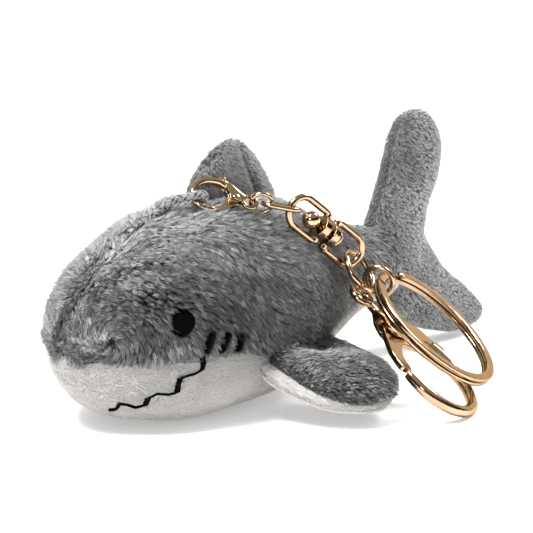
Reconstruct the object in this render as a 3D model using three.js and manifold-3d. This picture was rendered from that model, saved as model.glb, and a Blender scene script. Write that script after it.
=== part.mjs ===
// Plush shark key ring: stuffed body with fins and tail, cord loop, swivel chain, split ring and clasp.
// Millimetres, +Z up. Nose towards -X, tail towards +X, the shark's own left side towards -Y, belly on z = 0.
// Tables are written with x = 0 at the back of the dorsal fin; REST_X moves the middle of the
// resting face to the origin.
import * as THREE from 'three';
import { mergeVertices } from 'three/addons/utils/BufferGeometryUtils.js';
import Module from 'manifold-3d';

const wasm = await Module();
wasm.setup();

// ---------------------------------------------------------------- driving dimensions
const REST_X = 22;            // from the middle of the belly's resting face to the tables' x = 0
const GAP = 0.3;              // clearance between neighbouring pieces
const FIN_GAP = 1.0;          // seam allowance between body and fins, so the fins can bend
const SKIN = 1.5;             // plush fabric of the body, backing and pile
const FIN_SKIN = 1.2;         // plush fabric of fins and tail

// Body stations: x, half width, z bottom, z top, z of the widest line, fullness above, fullness below
const BODY = [
  [-52.8, 0.5, 14.2, 17.0, 15.4, 2.0, 2.0],
  [-52.0, 4.3, 10.4, 20.2, 15.4, 2.0, 1.9],
  [-49.8, 7.8, 7.2, 24.2, 15.4, 2.0, 1.9],
  [-46.0, 11.4, 3.4, 28.8, 15.4, 1.95, 2.2],
  [-40.0, 15.0, 0.6, 33.5, 15.6, 1.92, 2.7],
  [-31.0, 17.8, -0.5, 37.4, 16.6, 1.92, 3.2],
  [-21.0, 18.8, -0.5, 39.7, 17.6, 1.95, 3.0],
  [-10.0, 18.2, 0.0, 39.8, 18.2, 2.0, 2.7],
  [0.0, 16.3, 2.0, 37.4, 18.8, 2.05, 2.3],
  [10.0, 13.2, 6.0, 33.4, 19.2, 2.1, 2.1],
  [20.0, 9.8, 10.4, 30.2, 19.8, 2.1, 2.1],
  [28.0, 7.6, 12.4, 28.6, 20.2, 2.1, 2.1],
  [34.0, 6.6, 13.0, 28.0, 20.4, 2.1, 2.1],
];
// Seam between grey back and white belly: x, fraction of the way from the widest line to the bottom
const BELLY_SEAM = [[-52.8, 0.5], [-51, 0.18], [-48, 0.13], [-42, 0.1], [-36, 0.08], [-30, 0.13], [-22, 0.22],
  [-14, 0.36], [-6, 0.42], [10, 0.34], [22, 0.32], [34, 0.4]];

// Fin and tail stations: centre x, y, z, half chord, half thickness, chord direction x, y, z
const DORSAL_TILT = -0.17;
const DORSAL = [
  [-10.6, 0, 34.5, 11.8, 4.3], [-10.5, 0, 37.5, 11.6, 4.2],
  [-10.4, 0, 40.4, 10.6, 4.1], [-10.2, 0, 43.2, 9.0, 3.8],
  [-9.9, 0, 45.8, 6.8, 3.2], [-9.6, 0, 48.0, 4.2, 2.3], [-9.4, 0, 49.3, 1.8, 1.2], [-9.4, 0, 49.8, 0.4, 0.35],
].map((s) => [...s, 1, 0, DORSAL_TILT]);
const PECTORAL = [
  [-8.2, -11.0, 12.6, 10.0, 3.8, 1, 0.10, 0.00], [-8.8, -16.0, 10.4, 11.2, 3.9, 1, 0.12, 0.02],
  [-8.3, -21.0, 8.2, 11.8, 4.0, 1, 0.17, 0.03], [-7.2, -26.0, 6.2, 11.4, 4.0, 1, 0.23, 0.05],
  [-6.1, -30.2, 4.6, 10.1, 3.7, 1, 0.30, 0.06], [-4.8, -33.2, 3.8, 7.6, 3.1, 1, 0.36, 0.06],
  [-3.8, -35.0, 3.4, 4.4, 2.1, 1, 0.40, 0.06], [-3.3, -35.9, 3.3, 0.5, 0.45, 1, 0.40, 0.06],
];
const tailStation = (x, z, chord, thick, degrees) => {
  const a = THREE.MathUtils.degToRad(degrees);
  return [x, 0, z, chord, thick, Math.cos(a), 0, Math.sin(a)];
};
const TAIL = [
  tailStation(44.5, 51.4, 0.5, 0.45, 0), tailStation(44.5, 50.4, 3.8, 2.0, 0),
  tailStation(44.5, 47.8, 6.3, 3.3, 0),
  tailStation(44.3, 43.6, 7.7, 4.0, 1), tailStation(43.1, 38.3, 8.3, 4.3, 4),
  tailStation(40.8, 33.0, 8.8, 4.5, 10),
  tailStation(38.7, 28.0, 9.2, 4.7, 18), tailStation(38.2, 22.7, 10.0, 4.9, 31),
  tailStation(40.5, 17.6, 9.8, 4.9, 43),
  tailStation(45.0, 13.4, 8.8, 4.7, 50), tailStation(50.4, 10.1, 7.7, 4.3, 52),
  tailStation(56.5, 6.7, 6.4, 3.7, 52),
  tailStation(62.2, 4.5, 4.6, 2.9, 51), tailStation(66.0, 3.2, 2.6, 1.8, 50),
  tailStation(67.6, 2.8, 0.5, 0.45, 50),
];

// Embroidery, in body coordinates (x, z) on the flank
const EYE = { x: -37.1, z: 21.4, halfLength: 2.3, halfHeight: 2.6, lift: 0.3, thickness: 0.6 };
const GILLS = [
  [[-32.4, 18.6], [-33.4, 15.7]], [[-29.0, 18.2], [-30.1, 15.2]], [[-25.9, 17.7], [-26.6, 14.9]],
];
const THREAD = { width: 0.8, lift: 0.35, thickness: 0.6, step: 1.0 };
// Zigzag mouth from below the gills to under the chin: x, z on the flank, the same on both sides
const MOUTH = [
  [-33.5, 14.3], [-34.3, 13.4], [-33.5, 12.7], [-34.9, 11.9], [-38.0, 11.2], [-38.4, 8.9], [-39.6, 8.0],
  [-41.8, 8.5], [-42.8, 7.8], [-42.9, 6.5], [-44.3, 5.7], [-45.4, 6.4], [-46.1, 6.4], [-45.9, 5.3],
  [-46.4, 4.6],
];

// Chain hardware
const CORD = { diameter: 1.7, sides: 8, hookPoint: [30.7, -4.8] };
const SMALL_CLASP = { length: 12.2, cheek: 1.05, slot: 0.5, lever: 0.3,
  pinRadius: 0.32, pinGap: 0.18, wire: 0.7 };
const LARGE_CLASP = { length: 33.0, cheek: 2.0, slot: 0.9, lever: 0.6,
  pinRadius: 0.6, pinGap: 0.3, wire: 1.15 };
const SMALL_RING = { radius: 2.1, wire: 0.42 };
const OVAL_LINK = { halfLength: 3.45, halfWidth: 1.55, wire: 0.52 };
const SWIVEL = { halfLength: 10, halfWidth: 3.1, wire: 0.72, bridge: 1.9, barLength: 1.7, boss: 2.4, pin: 0.7,
  ball: 1.8, head: 1.85 };
const LARGE_RING = { radius: 4.2, wire: 0.62 };
const CONNECTOR_RING = { radius: 2.85, wire: 0.5 };
const SPLIT_RING = { radius: 14, coilWidth: 1.9, coilHeight: 0.95, coilGap: 0.14, firstEnd: 205 };

// Resting place of each chain piece: origin, direction of its length, direction across it
const PLACE = {
  smallClasp: { at: [-13.15, -9.4, 39.65], along: [-0.836, 0.504, 0.217], across: [0.486, 0.498, 0.718] },
  smallRing: { at: [-11.59, -10.28, 39.44], along: [0.707, -0.678, 0.199], across: [-0.414, -0.169, 0.894] },
  ovalLink: { at: [-8.72, -12.68, 38.72], along: [0.742, -0.642, -0.193], across: [0.648, 0.76, -0.037] },
  swivel: { at: [0.75, -15.45, 33.05], along: [0.782, -0.155, -0.603], across: [0.584, -0.153, 0.797] },
  largeRing: { at: [7.88, -18.03, 24.54], along: [0.175, -0.524, -0.833], across: [0.927, 0.373, -0.04] },
  connectorRing: { at: [11.35, -19.91, 22.41], along: [0.445, -0.859, -0.252],
    across: [0.071, 0.314, -0.947] },
  splitRing: { at: [17.0, -29.55, 13.65], along: [0.322, -0.679, -0.659], across: [0.901, 0.435, -0.008] },
  largeClasp: { at: [6.51, -19.29, 20.27], along: [0.071, -0.801, -0.595], across: [0.965, 0.206, -0.163] },
};

// ---------------------------------------------------------------- materials
const material = (color, roughness, metalness = 0) =>
  new THREE.MeshStandardMaterial({ color, roughness, metalness });
const greyPlush = () => material(0x7c7f7d, 0.95);
const whitePlush = () => material(0xd8d6d2, 0.95);
const filling = () => material(0xe8e6e0, 1.0);
const blackThread = () => material(0x0b0b0c, 0.6);
const cordFabric = () => material(0xb9b7b3, 0.8);
const champagne = () => material(0xd9b48c, 0.22, 1.0);

// ---------------------------------------------------------------- small mathematics
const V = (x, y, z) => new THREE.Vector3(x, y, z);

// Smooth curve through table rows [key, a, b, ...]; no overshoot between rows.
function table(rows) {
  const n = rows.length;
  const slope = (k, c) => {
    if (k === 0 || k === n - 1) {
      const j = Math.min(k, n - 2);
      return (rows[j + 1][c] - rows[j][c]) / (rows[j + 1][0] - rows[j][0]);
    }
    const a = (rows[k][c] - rows[k - 1][c]) / (rows[k][0] - rows[k - 1][0]);
    const b = (rows[k + 1][c] - rows[k][c]) / (rows[k + 1][0] - rows[k][0]);
    return a * b <= 0 ? 0 : (2 * a * b) / (a + b);
  };
  return (key) => {
    let k = 0;
    while (k < n - 2 && key > rows[k + 1][0]) k += 1;
    const h = rows[k + 1][0] - rows[k][0];
    const t = THREE.MathUtils.clamp((key - rows[k][0]) / h, 0, 1);
    const out = [];
    for (let c = 1; c < rows[0].length; c += 1) {
      out.push(rows[k][c] * (2 * t ** 3 - 3 * t * t + 1) + rows[k + 1][c] * (3 * t * t - 2 * t ** 3)
        + h * slope(k, c) * (t ** 3 - 2 * t * t + t) + h * slope(k + 1, c) * (t ** 3 - t * t));
    }
    return out;
  };
}

// ---------------------------------------------------------------- closed solids from grids of points
function geometryFrom(points, triangles) {
  const geometry = new THREE.BufferGeometry();
  const coordinates = points.flatMap((p) => [p.x, p.y, p.z]);
  geometry.setAttribute('position', new THREE.Float32BufferAttribute(coordinates, 3));
  geometry.setIndex(triangles);
  return geometry;
}

// Rows of points; each row may close on itself; ends are capped with a fan.
function loft(rows) {
  const m = rows[0].length;
  const points = rows.flat();
  const tri = [];
  for (let i = 0; i < rows.length - 1; i += 1) {
    for (let j = 0; j < m; j += 1) {
      const a = i * m + j, b = i * m + ((j + 1) % m), c = a + m, d = b + m;
      tri.push(a, b, d, a, d, c);
    }
  }
  for (const [row, flip] of [[0, true], [rows.length - 1, false]]) {
    const centre = rows[row].reduce((s, p) => s.add(p), V(0, 0, 0)).divideScalar(m);
    points.push(centre);
    for (let j = 0; j < m; j += 1) {
      const a = row * m + j, b = row * m + ((j + 1) % m), c = points.length - 1;
      tri.push(...(flip ? [b, a, c] : [a, b, c]));
    }
  }
  return facingOut(geometryFrom(points, tri));
}

// A patch of cloth: outer and inner grids of the same size, closed round the edge.
function cloth(outer, inner) {
  const n = outer.length, m = outer[0].length;
  const points = [...outer.flat(), ...inner.flat()];
  const at = (side, i, j) => side * n * m + i * m + j;
  const tri = [];
  const quad = (a, b, c, d) => tri.push(a, b, c, a, c, d);
  for (let i = 0; i < n - 1; i += 1) {
    for (let j = 0; j < m - 1; j += 1) {
      quad(at(0, i, j), at(0, i, j + 1), at(0, i + 1, j + 1), at(0, i + 1, j));
      quad(at(1, i, j), at(1, i + 1, j), at(1, i + 1, j + 1), at(1, i, j + 1));
    }
    quad(at(0, i, 0), at(0, i + 1, 0), at(1, i + 1, 0), at(1, i, 0));
    quad(at(0, i, m - 1), at(1, i, m - 1), at(1, i + 1, m - 1), at(0, i + 1, m - 1));
  }
  for (let j = 0; j < m - 1; j += 1) {
    quad(at(0, 0, j), at(1, 0, j), at(1, 0, j + 1), at(0, 0, j + 1));
    quad(at(0, n - 1, j), at(0, n - 1, j + 1), at(1, n - 1, j + 1), at(1, n - 1, j));
  }
  return facingOut(geometryFrom(points, tri));
}

function signedVolume(geometry) {
  const p = geometry.getAttribute('position'), index = geometry.getIndex().array;
  const [a, b, c] = [V(0, 0, 0), V(0, 0, 0), V(0, 0, 0)];
  let sum = 0;
  for (let k = 0; k < index.length; k += 3) {
    a.fromBufferAttribute(p, index[k]);
    b.fromBufferAttribute(p, index[k + 1]);
    c.fromBufferAttribute(p, index[k + 2]);
    sum += a.dot(b.cross(c)) / 6;
  }
  return sum;
}

function facingOut(geometry) {
  if (signedVolume(geometry) < 0) {
    const index = geometry.getIndex().array;
    for (let k = 0; k < index.length; k += 3) [index[k], index[k + 1]] = [index[k + 1], index[k]];
  }
  return geometry;
}

// ---------------------------------------------------------------- joins and cuts
function toManifold(geometry) {
  const g = geometry.clone();
  for (const name of Object.keys(g.attributes)) if (name !== 'position') g.deleteAttribute(name);
  const welded = mergeVertices(g, 1e-4);
  const mesh = new wasm.Mesh({
    numProp: 3,
    vertProperties: new Float32Array(welded.getAttribute('position').array),
    triVerts: new Uint32Array(welded.getIndex().array),
  });
  mesh.merge();
  return new wasm.Manifold(mesh);
}

function fromManifold(solid) {
  const mesh = solid.getMesh();
  const geometry = new THREE.BufferGeometry();
  geometry.setAttribute('position', new THREE.Float32BufferAttribute(mesh.vertProperties, 3));
  geometry.setIndex(Array.from(mesh.triVerts));
  return geometry;
}

const join = (geometries) => fromManifold(geometries.map(toManifold).reduce((a, b) => a.add(b)));
const cut = (geometry, tools) =>
  fromManifold(tools.map(toManifold).reduce((a, b) => a.subtract(b), toManifold(geometry)));

// Keep the largest body left by a cut, without crumbs.
function largestBody(geometry) {
  const parts = toManifold(geometry).decompose();
  return fromManifold(parts.reduce((a, b) => (a.volume() > b.volume() ? a : b)));
}

// ---------------------------------------------------------------- body surface
const bodyAt = table(BODY);
const seamAt = table(BELLY_SEAM);
const NOSE = BODY[0][0], REAR = BODY[BODY.length - 1][0];
const BODY_STEPS = 26;
const stationX = (i) => NOSE + (REAR - NOSE) * (i / BODY_STEPS) ** 1.3;

// Angle 0 is the left widest line, 90 degrees the back, -90 degrees the belly.
function bodyRaw(x, angle) {
  const [w, zb, zt, zm, above, below] = bodyAt(x);
  const c = Math.cos(angle), s = Math.sin(angle);
  const power = s > 0 ? above : below, height = s > 0 ? zt - zm : zm - zb;
  return V(x, -w * Math.sign(c) * Math.abs(c) ** (2 / power),
    zm + height * Math.sign(s) * Math.abs(s) ** (2 / power));
}

function bodyNormal(x, angle) {
  const lo = Math.max(x - 0.05, NOSE), hi = Math.min(x + 0.05, REAR);
  const across = bodyRaw(x, angle + 0.02).sub(bodyRaw(x, angle - 0.02));
  return bodyRaw(hi, angle).sub(bodyRaw(lo, angle)).cross(across).normalize();
}

// Point on the body surface moved inwards by depth (outwards when negative), kept above the table.
function bodyPoint(x, angle, depth) {
  const p = bodyRaw(x, angle).addScaledVector(bodyNormal(x, angle), -depth);
  return V(p.x, p.y, Math.max(p.z, depth));
}

// Angle of the left flank at a given x and height.
function flankAngle(x, z) {
  const [, zb, zt, zm, above, below] = bodyAt(x);
  const f = z > zm ? ((z - zm) / (zt - zm)) ** (above / 2) : -(((zm - z) / (zm - zb)) ** (below / 2));
  return Math.asin(THREE.MathUtils.clamp(f, -1, 1));
}

const seamAngle = (x) => Math.asin(seamAt(x)[0] ** (bodyAt(x)[5] / 2));

// A strip of body cloth between two angles; side -1 or +1 keeps it on that side of the centre seam.
function bodyPanel(from, to, columns, side = 0) {
  const grid = (depth) => Array.from({ length: BODY_STEPS + 1 }, (_, i) => {
    const x = stationX(i);
    const trim = (angle, step) => Math.min(0.35,
      (GAP / 2) * 0.1 / bodyRaw(x, angle + 0.1 * step).distanceTo(bodyRaw(x, angle)));
    const lo = from(x) + trim(from(x), 1), hi = to(x) - trim(to(x), -1);
    return Array.from({ length: columns + 1 }, (__, j) => {
      const p = bodyPoint(x, THREE.MathUtils.lerp(lo, hi, j / columns), depth);
      return side ? V(p.x, side * Math.max(side * p.y, GAP / 2), p.z) : p;
    });
  });
  return cloth(grid(0), grid(SKIN));
}

// The whole body, moved inwards by depth; the open rear end moves by the same amount.
function bodySolid(depth) {
  return loft(Array.from({ length: BODY_STEPS + 1 }, (_, i) => {
    const x = stationX(i);
    return Array.from({ length: 28 }, (__, j) => {
      const p = bodyPoint(x, (j / 28) * 2 * Math.PI, depth);
      return V(i === BODY_STEPS ? REAR - depth : Math.min(p.x, REAR - Math.abs(depth) - 0.5), p.y, p.z);
    });
  }));
}

// ---------------------------------------------------------------- fins and tail
// Cross-section frames along a fin; the inner surface stops short of the tips.
function finFrames(stations, steps, depth) {
  const curve = table(stations.map((s, k) => [k, ...s]));
  const end = stations.length - 1;
  const fits = (key) => {
    const [, , , chord, thick] = curve(key);
    return chord > depth + 0.35 && thick > depth + 0.2;
  };
  let first = 0, last = end;
  while (!fits(first)) first += 0.05;
  while (!fits(last)) last -= 0.05;
  return Array.from({ length: steps + 1 }, (_, i) => {
    const key = THREE.MathUtils.lerp(first, last, i / steps);
    const [x, y, z, chord, thick, ex, ey, ez] = curve(key);
    const next = curve(Math.min(key + 0.05, end)), back = curve(Math.max(key - 0.05, 0));
    const run = V(next[0] - back[0], next[1] - back[1], next[2] - back[2]).normalize();
    const e = V(ex, ey, ez).normalize();
    return { centre: V(x, y, z), half: [chord - depth, thick - depth], e, up: run.cross(e).normalize() };
  });
}

const finPoint = (f, angle) => f.centre.clone()
  .addScaledVector(f.e, f.half[0] * Math.cos(angle)).addScaledVector(f.up, f.half[1] * Math.sin(angle));

// One side of a fin's cloth: side +1 or -1 picks the half.
function finPanel(stations, steps, side, columns) {
  const grid = (depth) => finFrames(stations, steps, depth).map((f) => {
    const trim = Math.asin(Math.min(0.5, GAP / 2 / f.half[1]));
    return Array.from({ length: columns + 1 }, (_, j) =>
      finPoint(f, side * THREE.MathUtils.lerp(trim, Math.PI - trim, j / columns)));
  });
  return cloth(grid(0), grid(FIN_SKIN));
}

const finStuffing = (stations, steps) => loft(finFrames(stations, steps, FIN_SKIN + GAP)
  .map((f) => Array.from({ length: 18 }, (_, j) => finPoint(f, (j / 18) * 2 * Math.PI))));

const bodyAndSeam = toManifold(bodySolid(-FIN_GAP));
const clearOfBody = (geometry) => largestBody(fromManifold(toManifold(geometry).subtract(bodyAndSeam)));

function mirrored(geometry) {
  const copy = geometry.clone().applyMatrix4(new THREE.Matrix4().makeScale(1, -1, 1));
  return facingOut(copy);
}

// ---------------------------------------------------------------- embroidery on the flank
function eyePatch() {
  const ring = (scale, lift) => Array.from({ length: 20 }, (_, j) => {
    const a = (j / 20) * 2 * Math.PI;
    const x = EYE.x + EYE.halfLength * scale * Math.cos(a), z = EYE.z + EYE.halfHeight * scale * Math.sin(a);
    return bodyPoint(x, flankAngle(x, z), -lift);
  });
  const top = EYE.lift + EYE.thickness;
  return loft([ring(0.35, EYE.lift), ring(0.96, EYE.lift), ring(1, EYE.lift + 0.25), ring(0.8, top),
    ring(0.3, top)]);
}

// A stitched line: a flat band that follows the cloth through rows of [x, angle].
function threadLine(path) {
  const dense = path.slice(0, 1);
  for (let i = 1; i < path.length; i += 1) {
    const [a, b] = [path[i - 1], path[i]];
    const steps = Math.ceil(bodyRaw(...a).distanceTo(bodyRaw(...b)) / THREAD.step);
    for (let k = 1; k <= steps; k += 1) {
      dense.push([0, 1].map((c) => THREE.MathUtils.lerp(a[c], b[c], k / steps)));
    }
  }
  const low = dense.map(([x, angle]) => bodyPoint(x, angle, -THREAD.lift));
  const high = dense.map(([x, angle]) => bodyPoint(x, angle, -THREAD.lift - THREAD.thickness));
  return loft(low.map((p, i) => {
    const run = low[Math.min(i + 1, low.length - 1)].clone().sub(low[Math.max(i - 1, 0)]).normalize();
    const side = run.cross(high[i].clone().sub(p).normalize()).normalize().multiplyScalar(THREAD.width / 2);
    return [p.clone().add(side), p.clone().sub(side), high[i].clone().sub(side), high[i].clone().add(side)];
  }));
}

const onFlank = ([x, z]) => [x, flankAngle(x, z)];

// ------------------------------------------------ wire and cast metal, in each piece's own frame
// A bent wire lying in the XY plane: rows of [x, y, radius in plane, radius across].
function wire(path, closed, sides = 8) {
  const n = path.length;
  const rows = path.map(([x, y, r, across], i) => {
    const next = path[closed ? (i + 1) % n : Math.min(i + 1, n - 1)];
    const back = path[closed ? (i + n - 1) % n : Math.max(i - 1, 0)];
    const run = V(next[0] - back[0], next[1] - back[1], 0).normalize();
    return Array.from({ length: sides }, (_, j) => {
      const a = (j / sides) * 2 * Math.PI, flat = r * Math.cos(a);
      return V(x + run.y * flat, y - run.x * flat, (across ?? r) * Math.sin(a));
    });
  });
  return closed ? closedLoop(rows) : loft(rows);
}

function closedLoop(rows) {
  const n = rows.length, m = rows[0].length, tri = [];
  for (let i = 0; i < n; i += 1) {
    for (let j = 0; j < m; j += 1) {
      const next = (j + 1) % m, row = ((i + 1) % n) * m;
      const a = i * m + j, b = i * m + next, c = row + j, d = row + next;
      tri.push(a, b, d, a, d, c);
    }
  }
  return facingOut(geometryFrom(rows.flat(), tri));
}

const torus = (radius, thickness, x = 0, steps = 32) =>
  new THREE.TorusGeometry(radius, thickness, 8, steps).translate(x, 0, 0);
const plate = (outline, halfHeight) =>
  new THREE.ExtrudeGeometry(new THREE.Shape(outline.map(([x, y]) => new THREE.Vector2(x, y))),
    { depth: 2 * halfHeight, bevelEnabled: false }).translate(0, 0, -halfHeight);
const barX = (radius, from, to, sides = 16) =>
  new THREE.CylinderGeometry(radius, radius, to - from, sides)
    .rotateZ(Math.PI / 2).translate((from + to) / 2, 0, 0);
const barZ = (radius, half, x, y, sides = 14) =>
  new THREE.CylinderGeometry(radius, radius, 2 * half, sides).rotateX(Math.PI / 2).translate(x, y, 0);

function ovalLink() {
  const { halfLength, halfWidth, wire: r } = OVAL_LINK;
  const path = [];
  for (const end of [1, -1]) {
    for (let k = 0; k <= 8; k += 1) {
      const a = (-0.5 + k / 8) * Math.PI;
      path.push([end * (halfLength - halfWidth + halfWidth * Math.cos(a)), end * halfWidth * Math.sin(a), r]);
    }
  }
  return wire(path, true);
}

// One half of the swivel: a D-shaped frame with a bored bridge.
// end is -1 for the cord side, +1 for the ring side.
function swivelFrame(end) {
  const { halfLength, halfWidth, wire: r, bridge, barLength, boss, pin } = SWIVEL;
  const path = [];
  for (let k = 0; k <= 12; k += 1) {
    const a = (-0.5 + k / 12) * Math.PI;
    path.push([end * (halfLength - halfWidth + halfWidth * Math.cos(a)), halfWidth * Math.sin(a), r]);
  }
  for (const x of [5.2, 3.4, 1.9]) path.push([end * x, halfWidth, r]);
  for (const y of [0.6, 0, -0.6]) path.push([end * (bridge - 0.55), y * halfWidth, r]);
  for (const x of [1.9, 3.4, 5.2]) path.push([end * x, -halfWidth, r]);
  const bar = new THREE.BoxGeometry(barLength, 2 * halfWidth + 1.3, 1.5)
    .translate(end * (bridge - 0.55), 0, 0);
  const near = end * (bridge - 0.55) - barLength / 2, far = near + barLength;
  return cut(join([wire(path, true), bar, barX(boss, near, far, 10)]), [barX(pin + GAP, near - 1, far + 1)]);
}

// Ball-headed rivet that holds the two swivel frames together.
function swivelRivet() {
  const { bridge, barLength, pin, ball, head } = SWIVEL;
  const face = bridge - 0.55 + barLength / 2 + GAP;
  const profile = [[0, -face - 2 * ball]];
  for (let k = 1; k < 8; k += 1) {
    const a = -Math.PI / 2 + (k / 8) * Math.PI;
    profile.push([Math.max(ball * Math.cos(a), pin), -face - ball + ball * Math.sin(a)]);
  }
  profile.push([pin, -face], [pin, face], [head, face], [head, face + 0.6], [head - 0.3, face + 0.9],
    [0, face + 0.9]);
  return new THREE.LatheGeometry(profile.map(([x, y]) => new THREE.Vector2(x, y)), 16).rotateZ(-Math.PI / 2);
}

// Two-turn key ring: flat coil that steps from one layer to the other just before the free ends.
function splitRing() {
  const { radius, coilWidth, coilHeight, coilGap, firstEnd } = SPLIT_RING;
  const level = (coilHeight + coilGap) / 2, stepStart = 312, stepEnd = 360, sweep = 666, pitch = 9;
  const corner = 0.3 * coilHeight, w = coilWidth / 2, h = coilHeight / 2;
  const section = [[w, h - corner], [w - corner, h], [corner - w, h], [-w, h - corner],
    [-w, corner - h], [corner - w, -h], [w - corner, -h], [w, corner - h]];
  const rows = [];
  for (let degrees = 0; degrees <= sweep; degrees += pitch) {
    const t = THREE.MathUtils.smoothstep(degrees, stepStart, stepEnd);
    const a = THREE.MathUtils.degToRad(degrees + firstEnd), z = level * (2 * t - 1);
    rows.push(section.map(([u, v]) => V((radius + u) * Math.cos(a), (radius + u) * Math.sin(a), z + v)));
  }
  return loft(rows);
}

// Lobster clasp drawn for a 33 mm length and scaled. Eye at the origin, hook end on +X, thumb nub on +Y.
const CLASP_ARM = [[5.0, 0.6, 1.5, 1.7], [8.0, 2.6, 1.55, 1.8], [11.5, 5.4, 1.5, 1.8], [15.5, 7.6, 1.35, 1.6],
  [18.4, 8.5, 1.2, 1.45], [21.4, 8.8, 1.1, 1.2], [24.5, 8.4, 1.05, 1.1], [27.4, 7.1, 1, 1], [29.8, 5.1, 1, 1],
  [31.4, 2.5, 1, 1], [32.0, -0.6, 1, 1], [31.4, -3.6, 1, 1], [29.8, -6.1, 1, 1], [27.4, -7.9, 1, 1],
  [24.8, -8.7, 0.95, 1], [22.0, -8.8, 0.8, 0.9]];
const CLASP_CHEEK = [
  [4.8, -1.7], [8.0, -4.3], [11.6, -6.2], [13.6, -5.2], [13.8, -2.0], [13.2, 1.0], [14.6, 4.4],
  [15.6, 7.4], [12.5, 7.6], [8.8, 4.6], [4.8, 1.7]];
const CLASP_SLOT = [
  [7.0, -4.5], [13, -12], [20.5, -12], [21.4, -7.2], [18.5, -4], [14.8, 0], [15.5, 4], [18.2, 8.0],
  [18.6, 13], [4.5, 13.5], [7.2, 4.5]];
const CLASP_LEVER = [
  [8.2, -2.6], [12.5, -6.1], [16.2, -8.6], [19.9, -9.6], [20.9, -7.6], [17.6, -6.2], [15.0, -3.4],
  [13.4, 0.2], [14.8, 4.0], [17.4, 8.8], [17.3, 11.4], [15.2, 11.6], [13.6, 8.6], [10.6, 3.6], [8.4, 1.4]];
const CLASP_PIVOT = [9.9, -0.9];

function lobsterClasp({ length, cheek, slot, lever, pinRadius, pinGap, wire: r }, eye) {
  const k = length / 33, scaled = (rows) => rows.map(([x, y]) => [k * x, k * y]);
  const [px, py] = CLASP_PIVOT.map((v) => v * k);
  const arm = wire(CLASP_ARM.map(([x, y, a, b]) => [k * x, k * y, r * a, Math.min(r * b, cheek)]), false);
  const neck = barX(eye.wire * 1.3, eye.x + eye.radius, 5.6 * k);
  const hole = barZ(pinRadius + pinGap, 2 * cheek, px, py);
  const body = cut(
    join([torus(eye.radius, eye.wire, eye.x, 24), neck, plate(scaled(CLASP_CHEEK), cheek), arm]),
    [plate(scaled(CLASP_SLOT), slot), hole]);
  const head = cheek + pinGap;
  const rim = pinRadius + 0.35;
  const pinProfile = [[0, -head - 0.3], [rim, -head - 0.3], [rim, -head], [pinRadius, -head],
    [pinRadius, head], [rim, head], [rim, head + 0.3], [0, head + 0.3]];
  const pin = new THREE.LatheGeometry(pinProfile.map(([x, y]) => new THREE.Vector2(x, y)), 14)
    .rotateX(Math.PI / 2).translate(px, py, 0);
  return { body: largestBody(body), lever: cut(plate(scaled(CLASP_LEVER), lever), [hole]), pin };
}

function placed(geometry, { at, along, across }) {
  const x = V(...along).normalize();
  const y = V(...across).addScaledVector(x, -V(...across).dot(x)).normalize();
  const matrix = new THREE.Matrix4().makeBasis(x, y, x.clone().cross(y)).setPosition(...at);
  return geometry.clone().applyMatrix4(matrix);
}

// ---------------------------------------------------------------- cord loop
// Both ends are sewn into the back seam; the loop runs round the small clasp's hook wire.
function cordRoute() {
  const { at, along, across } = PLACE.smallClasp;
  const x = V(...along).normalize(), side = x.clone().cross(V(...across)).normalize();
  const k = SMALL_CLASP.length / 33, [hx, hy] = CORD.hookPoint;
  const hook = V(...at).addScaledVector(x, k * hx).addScaledVector(side.clone().cross(x), k * hy);
  const root = V(-29.7, 0, bodyAt(-29.7)[2]);
  const reach = SMALL_CLASP.wire + CORD.diameter / 2 + GAP;
  const back = root.clone().sub(hook).normalize();
  side.addScaledVector(back, -side.dot(back)).normalize();
  const points = [];
  const strand = (way) => [V(root.x - way * 1.15, 0, root.z - 7.5), V(root.x - way * 1.15, 0, root.z - 3.5),
    V(root.x - way * 1.1, 0, root.z - 0.3),
    root.clone().lerp(hook, 0.4).addScaledVector(side, way * reach * 0.75).add(V(0, 0, 0.9))];
  points.push(...strand(1));
  for (let k = 0; k <= 6; k += 1) {
    const a = (k / 6) * Math.PI;
    points.push(hook.clone().addScaledVector(side, reach * Math.cos(a))
      .addScaledVector(back, -reach * Math.sin(a)));
  }
  points.push(...strand(-1).reverse());
  return points;
}

function cordSolid(radius) {
  const section = new THREE.Shape(Array.from({ length: CORD.sides }, (_, j) => {
    const a = (j / CORD.sides) * 2 * Math.PI;
    return new THREE.Vector2(radius * Math.cos(a), radius * Math.sin(a));
  }));
  const extrudePath = new THREE.CatmullRomCurve3(cordRoute(), false, 'centripetal');
  return new THREE.ExtrudeGeometry(section, { steps: 48, bevelEnabled: false, extrudePath });
}

// ---------------------------------------------------------------- assembly
const group = new THREE.Group();
group.name = 'plush_shark_key_ring';

function add(name, geometry, mat) {
  const bare = geometry.clone().translate(REST_X, 0, 0);
  for (const key of Object.keys(bare.attributes)) if (key !== 'position') bare.deleteAttribute(key);
  const welded = mergeVertices(bare, 1e-5);
  welded.computeVertexNormals();
  const mesh = new THREE.Mesh(welded, mat);
  mesh.name = name;
  group.add(mesh);
}

const leftSeam = (x) => -seamAngle(x), rightSeam = (x) => Math.PI + seamAngle(x), ridge = () => Math.PI / 2;
const cordPocket = cordSolid(CORD.diameter / 2 + GAP);
add('body_stuffing', cut(bodySolid(SKIN + GAP), [cordPocket]), filling());
add('back_panel_left', largestBody(cut(bodyPanel(leftSeam, ridge, 10, -1), [cordPocket])), greyPlush());
add('back_panel_right', largestBody(cut(bodyPanel(ridge, rightSeam, 10, 1), [cordPocket])), greyPlush());
add('belly_panel', bodyPanel((x) => rightSeam(x) - 2 * Math.PI, leftSeam, 14), whitePlush());

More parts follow.
